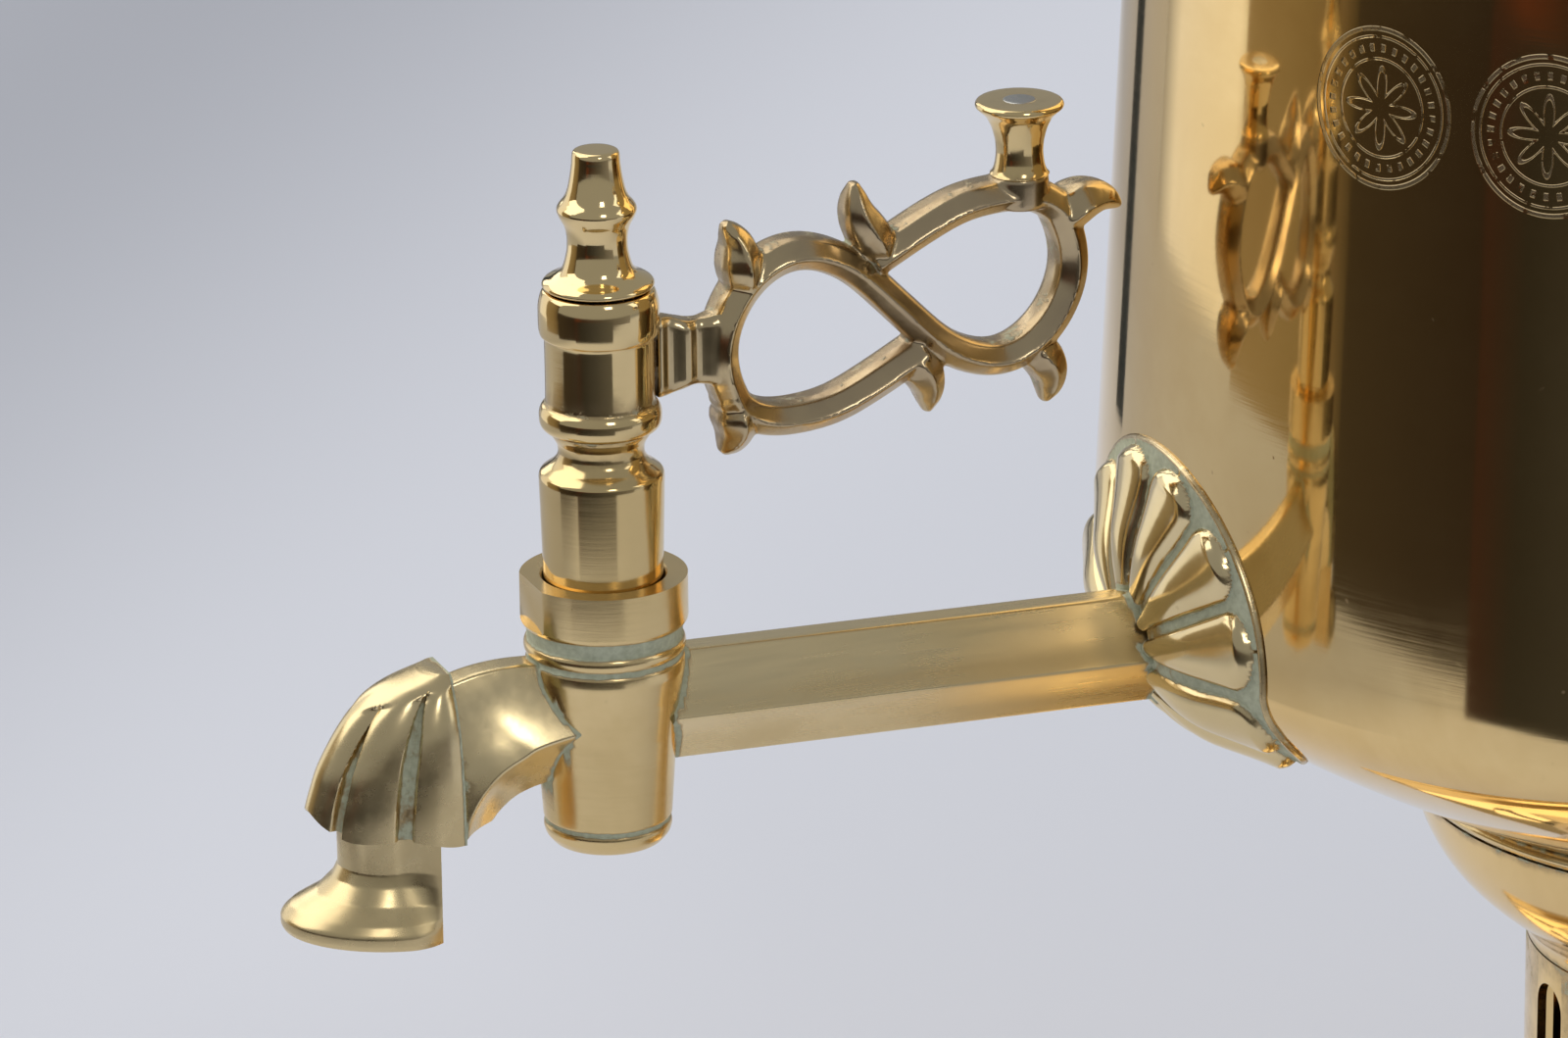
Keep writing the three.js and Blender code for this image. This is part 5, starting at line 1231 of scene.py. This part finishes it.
def build_key_stem():
    """The plug with its stud, and the sleeve, finial and thumb knob."""
    low, high = corners("key_plug")
    wide, foot = half_width("key_plug"), TAP.z + PLUG_SHOULDER
    # Each row is a share of the plug's radius, the millimetres above its shoulder, and its grime.
    neck = [(1, -0.3), (0.985, 0.4), (0.8, 1.6), (0.705, 2.6, 0.25), (0.68, 3.6, 0.35), (0.70, 4.8, 0.2),
            (0.8, 6.3, 0.3), (0.82, 6.9, 0.5)]
    outline = [
        (0, low.z), (wide * 0.86, low.z), (wide * 0.955, TAP.z + 21 * MM, 0.2),
        (wide * 0.958, TAP.z + 22.5 * MM, 0.3), (wide * 0.962, TAP.z + 24 * MM),
        *((s[0] * wide, foot + s[1] * MM, *s[2:]) for s in neck),
        (STUD_RADIUS, foot + 6.9 * MM), (STUD_RADIUS, high.z), (0, high.z),
    ]
    plug = turned("key_plug_fine", soften(outline, 0.45 * MM), TAP_AXIS, 120)
    dress(plug, "key", "cast_brass", KEYED, "key_plug")

    sleeve_shares = [
        (0.48, 0), (0.9, 0, 0.5), (0.97, 0.025), (1, 0.06), (1, 0.13), (0.96, 0.17), (0.91, 0.185, 0.5),
        (0.893, 0.2, 0.5), (0.89, 0.4), (0.893, 0.655), (0.905, 0.668, 0.4), (0.955, 0.675), (0.975, 0.7),
        (0.985, 0.75), (0.985, 0.88), (0.96, 0.94), (0.92, 0.985), (0.87, 1, 0.4), (0.48, 1),
    ]
    turned_node("key_sleeve", "key", "cast_brass", KEYED, sleeve_shares, 0.5 * MM, 120)
    finial_shares = [
        (0, 0), (0.9, 0), (0.97, 0, 0.4), (1, 0.02), (0.95, 0.05), (0.75, 0.085), (0.64, 0.12),
        (0.585, 0.18), (0.535, 0.27), (0.53, 0.36), (0.565, 0.44), (0.655, 0.505), (0.7, 0.545),
        (0.71, 0.575), (0.66, 0.61), (0.57, 0.65), (0.51, 0.71), (0.465, 0.8), (0.43, 0.9),
        (0.425, 0.955), (0.41, 0.985), (0.36, 1), (0, 1),
    ]
    turned_node("key_finial", "key", "cast_brass", KEYED, finial_shares, 0.7 * MM, 120)
    thumb_shares = [
        (0, 0), (0.7, 0, 0.5), (0.62, 0.04, 0.3), (0.56, 0.14), (0.53, 0.3), (0.55, 0.46), (0.63, 0.64),
        (0.76, 0.79), (0.94, 0.885), (1, 0.92), (1, 0.955), (0.96, 0.99), (0.88, 1, 0.1), (0.4, 1, 0.2),
        (0, 1, 0.2),
    ]
    turned_node("key_thumb_knob", "key", "cast_brass", KEYED, thumb_shares, 0.6 * MM, 96)
    centre, top = middle("key_thumb_knob"), corners("key_thumb_knob")[1].z
    outline = [(0, -0.4 * MM), (2.5 * MM, -0.4 * MM), (2.5 * MM, 0), (2.1 * MM, 0.1 * MM), (0, 0.16 * MM)]
    rivet = turned("thumb_rivet", soften(outline, 0.2 * MM), Vector((centre.x, centre.y, top)), 48)
    dress(rivet, "key", "steel_rod", STEEL)


SCROLL_SHARES = {
    "sweep": [(-0.90, -0.80), (-0.975, -0.5), (-0.99, -0.1), (-0.93, 0.2), (-0.86, 0.41), (-0.72, 0.62),
              (-0.56, 0.70), (-0.40, 0.62), (-0.24, 0.45), (0, 0)],
    "closing": [(-0.95, -0.66), (-0.90, -0.82), (-0.82, -0.93), (-0.70, -0.985), (-0.58, -0.99),
                (-0.44, -0.965), (-0.34, -0.93), (-0.11, -0.73), (0.14, -0.48)],
}
LEAF_SHARES = [
    [(-0.86, 0.36), (-0.865, 0.62), (-0.885, 0.86), (-0.955, 1.07)],
    [(-0.92, -0.75), (-0.905, -0.96), (-0.925, -1.12), (-0.985, -1.26)],
    [(-0.08, 0.52), (-0.14, 0.74), (-0.21, 1.0), (-0.235, 1.31)],
    [(0.05, -0.48), (0.13, -0.66), (0.175, -0.88), (0.17, -1.13)],
    [(0.75, -0.56), (0.84, -0.78), (0.865, -0.98), (0.835, -1.2)],
    [(0.90, 0.62), (1.03, 0.80), (1.16, 0.83), (1.27, 0.72)],
]
LEAF_SIZE_SHARES = (0.75, 1.15, 1.22, 1.12, 0.92, 0.66, 0.25)
BAR_SECTION_SHARES = [(1, 0), (0.45, 0.85), (0.1, 1), (-0.6, 0.95), (-1, 0.7), (-1, -0.7), (-0.6, -0.95),
                      (0.1, -1), (0.45, -0.85)]


def scroll_point(along, up):
    """A place in the handle's own plane, by shares of its half length and height."""
    reach, height = SCROLL_REACH + along * SCROLL_HALF_LENGTH, SCROLL_HEIGHT + up * SCROLL_HALF_HEIGHT
    return TAP + Vector((0, reach, height))


def build_scroll():
    """The pierced handle, cast in one: an S-shaped bar, two that close its loops, leaves, web and boss."""
    section = [(a * BAR_DEPTH, b * BAR_WIDTH) for a, b in BAR_SECTION_SHARES]
    across = Vector((1, 0, 0))
    half = [scroll_point(*share) for share in SCROLL_SHARES["sweep"]]
    other = [scroll_point(-a, -u) for a, u in SCROLL_SHARES["sweep"][-2::-1]]
    parts = [swept("bar", eased(smooth_path(half + other, 150), 16), section, across)]
    for sign in (1, -1):
        closing = [scroll_point(sign * a, sign * u) for a, u in SCROLL_SHARES["closing"]]
        parts.append(swept("bar", eased(smooth_path(closing, 70), 24), section, across))
    for leaf in LEAF_SHARES:
        path = smooth_path([scroll_point(*share) for share in leaf], 30)
        parts.append(swept("leaf", path, section, across, LEAF_SIZE_SHARES))

    start, end = WEB_START, SCROLL_REACH - SCROLL_HALF_LENGTH * 0.96
    centre_z, half_height = SCROLL_HEIGHT - 0.17 * SCROLL_HALF_HEIGHT, WEB_HEIGHT / 2
    stops = []
    for k in range(41):
        t = k / 40
        waist = half_height * (1 - 0.2 * math.sin(math.pi * step(t, 0.05, 1.0)) - 0.1 * step(t, 0.5, 1))
        depth = WEB_DEPTH / 2 * (1.1 - 0.32 * math.sin(2.5 * math.pi * t) ** 2)
        place = Matrix.Translation(TAP + Vector((0, start + t * (end - start), centre_z)))
        stops.append(place @ Matrix.Rotation(math.pi / 2, 4, "X") @ Matrix.Diagonal((depth, waist, 1, 1)))
    web_shares = [(0.6, 1), (1, 0.8), (1, -0.8), (0.6, -1), (-0.6, -1), (-1, -0.8), (-1, 0.8), (-0.6, 1)]
    parts.append(finish_work(draw_ring(web_shares, stops), "web", capped=True))
    boss_top = corners("key_thumb_knob")[0].z + 0.2 * MM
    boss_low = TAP.z + SCROLL_HEIGHT + 0.85 * SCROLL_HALF_HEIGHT
    boss_middle = Vector((0, TAP.y + THUMB_REACH, (boss_low + boss_top) / 2))
    parts.append(disc(boss_middle, Vector((0, 0, 1)), THUMB_BOSS, boss_top - boss_low, 0.5 * MM))
    scroll = cast_together("key_scroll_fine", parts, 0.24 * MM, 22, 0.35)
    grime_in_hollows(scroll, 5.0, 6, inside=0.44)
    return dress(scroll, "key", "cast_brass", PIERCED, "key_scroll")


# Stage

# The height on the vessel that the lights face
LIGHT_AIM = 220 * MM


def add_light(name, azimuth, elevation, distance, size, power, colour):
    """A soft rectangular light that faces the vessel. Azimuth 0 is over the tap."""
    a, e = math.radians(azimuth), math.radians(elevation)
    way = Vector((math.sin(a) * math.cos(e), -math.cos(a) * math.cos(e), math.sin(e)))
    data = bpy.data.lights.new(name, "AREA")
    data.shape = "RECTANGLE"
    data.size, data.size_y = size
    data.energy = power
    data.color = colour
    light = add_object(name, data)
    light.location = AXIS + Vector((0, 0, LIGHT_AIM)) + way * distance
    light.rotation_euler = way.to_track_quat("Z", "Y").to_euler()


def add_screen(name, centre, distance, height, colours):
    """A curved glowing screen that only the brass reflects: a painted reflection, no lamp. It lights
    nothing and casts no shadow. Its colours are (azimuth, colour) rows round its centre."""
    finish = Finish(name)
    x, y, _ = finish.axes()
    turn = finish.maths("ARCTAN2", x, (y - centre.y) * -1) * (180 / math.pi)
    low, high = colours[0][0], colours[-1][0]
    share = (turn - low) * (1 / (high - low)) + (finish.noise(3, 3) - 0.5) * 0.06
    stops = [((azimuth - low) / (high - low), (*colour, 1)) for azimuth, colour in colours]
    glow = finish.node("ShaderNodeValToRGB", {"stops": stops}, {0: share})
    # The screen's glow paints reflections into the brass.
    finish.surface(Base_Color=(0, 0, 0, 1), Roughness=1.0, Emission_Color=glow, Emission_Strength=1.0)
    work, _ = start_work()
    ends = [work.verts.new((0, -distance, z)) for z in (0, height)]
    line = work.edges.new(ends)
    bmesh.ops.rotate(work, verts=ends, matrix=Matrix.Rotation(math.radians(low), 3, "Z"))
    bmesh.ops.spin(work, geom=[*ends, line], cent=(0, 0, 0), axis=(0, 0, 1), angle=math.radians(high - low),
                   steps=40)
    bmesh.ops.translate(work, verts=work.verts, vec=centre)
    screen = finish_work(work, name)
    screen.data.materials.append(finish.material)
    screen.visible_camera = False
    screen.visible_diffuse = False
    screen.visible_shadow = False
    screen.visible_transmission = False


def build_stage():
    """A pale floor with painted shade that darkens it towards its far left, soft studio light, and a dim
    room beyond the table's edge as glowing screens that only the brass reflects: painted reflections."""
    finish = Finish("stage_floor")
    x, y, _ = finish.axes()
    x, y = x - TAP.x, y - TAP.y
    far = x * -math.sin(CAMERA_AZIMUTH) + y * math.cos(CAMERA_AZIMUTH)
    right = x * math.cos(CAMERA_AZIMUTH) + y * math.sin(CAMERA_AZIMUTH)
    # Painted shade: the floor's colour darkens towards its far left, where the light falls off.
    shade_off = finish.span(far - right * 3, 0.5, 1.35) + (finish.noise(1.6, 2) - 0.5) * 0.08
    tone = finish.blend(shade_off, (0.78, 0.80, 0.885, 1), (0.44, 0.455, 0.515, 1))
    finish.surface(Base_Color=tone, Roughness=0.8)
    work, _ = start_work()
    bmesh.ops.create_grid(work, x_segments=4, y_segments=4, size=6)
    floor = finish_work(work, "stage_floor")
    floor.data.materials.append(finish.material)

    # Painted reflections: glowing screens, no lamps, that only the brass reflects. They show a bright
    # window, a dim room, its near side by the tap and a dark upright stripe.
    add_screen("painted_window_reflection", AXIS, 0.83, 0.62, [
        (-64, (0.35, 0.36, 0.38)), (-58, (0.85, 0.87, 0.92)), (-38, (0.92, 0.92, 0.92)),
        (-34, (0.6, 0.55, 0.45))])
    add_screen("painted_room_reflection_left", AXIS, 0.80, 0.42, [
        (-36, (0.28, 0.22, 0.13)), (-20, (0.22, 0.17, 0.09)), (-13, (0.15, 0.11, 0.06)),
        (-9, (0.05, 0.04, 0.02))])
    add_screen("painted_room_reflection", AXIS, 0.70, 0.22, [
        (-9, (0.04, 0.03, 0.018)), (17, (0.022, 0.015, 0.01)), (22, (0.09, 0.026, 0.01)),
        (30, (0.04, 0.018, 0.009)), (68, (0.08, 0.075, 0.07)), (118, (0.2, 0.2, 0.21))])
    add_screen("painted_near_reflection", TAP_AXIS, 0.46, 0.16, [
        (24, (0.035, 0.014, 0.008)), (34, (0.02, 0.018, 0.014)), (60, (0.04, 0.04, 0.04)),
        (96, (0.09, 0.09, 0.09))])
    add_screen("painted_stand_reflection", AXIS, 0.62, 1.2, [(-79, (0.03, 0.035, 0.04)), (-74, (0.02, 0.03, 0.045))])

    add_light("key_light", -50, 38, 1.8, (2.8, 2.2), 29, (1.0, 0.975, 0.93))
    add_light("rear_light", 162, 26, 1.8, (1.6, 1.2), 6.5, (0.97, 0.985, 1.0))
    add_light("front_light", 82, 38, 1.5, (0.3, 0.5), 1.9, (1.0, 0.98, 0.94))

    world = bpy.data.worlds.new("stage_world")
    bpy.context.scene.world = world
    world.use_nodes = True
    back = world.node_tree.nodes["Background"]
    back.inputs["Color"].default_value = (0.92, 0.96, 1.0, 1)
    back.inputs["Strength"].default_value = 0.33


def build_camera():
    """Places the camera so that the middle of the tap falls on its pixel of the photograph."""
    a, e, roll = CAMERA_AZIMUTH, CAMERA_ELEVATION, CAMERA_ROLL
    level = Vector((math.cos(a), math.sin(a), 0))
    rise = Vector((-math.sin(a) * math.sin(e), math.cos(a) * math.sin(e), math.cos(e)))
    forward = Vector((-math.sin(a) * math.cos(e), math.cos(a) * math.cos(e), -math.sin(e)))
    right = level * math.cos(roll) + rise * math.sin(roll)
    up = rise * math.cos(roll) - level * math.sin(roll)
    across = (TAP_PIXEL[0] - PHOTO_WIDTH / 2) / FOCAL_PIXELS
    down = (TAP_PIXEL[1] - PHOTO_HEIGHT / 2) / FOCAL_PIXELS
    place = TAP - TAP_DEPTH * (forward + across * right - down * up)
    data = bpy.data.cameras.new("camera")
    data.sensor_width = SENSOR_WIDTH_MM
    data.lens = FOCAL_PIXELS / PHOTO_WIDTH * SENSOR_WIDTH_MM
    data.clip_start, data.clip_end = 0.05, 50
    camera = add_object("camera", data)
    turn = Matrix((right, up, -forward)).transposed().to_4x4()
    camera.matrix_world = Matrix.Translation(place) @ turn
    bpy.context.scene.camera = camera


build_camera()
build_vessel()
build_fire_tube()
build_waist()
build_base()
build_rim()
build_lid()
build_crown()
build_handles()
barrel = build_barrel()
pipe = build_pipe()
rosette = build_rosette()
elbow = build_elbow()
shell = build_shell()
nozzle = build_nozzle()
build_key_stem()
build_scroll()

settle_grime(barrel, [pipe, elbow], 0.8 * MM, 0.9)
settle_grime(pipe, [barrel, rosette], 1.3 * MM, 0.95)
settle_grime(elbow, [barrel, shell], 1.0 * MM, 0.9)
settle_grime(rosette, [pipe], 1.4 * MM, 0.9)
settle_grime(nozzle, [shell, elbow], 0.9 * MM, 0.5)
settle_grime(shell, [nozzle], 0.8 * MM, 0.5)
build_stage()

scene = bpy.context.scene
scene.view_settings.view_transform = "Standard"
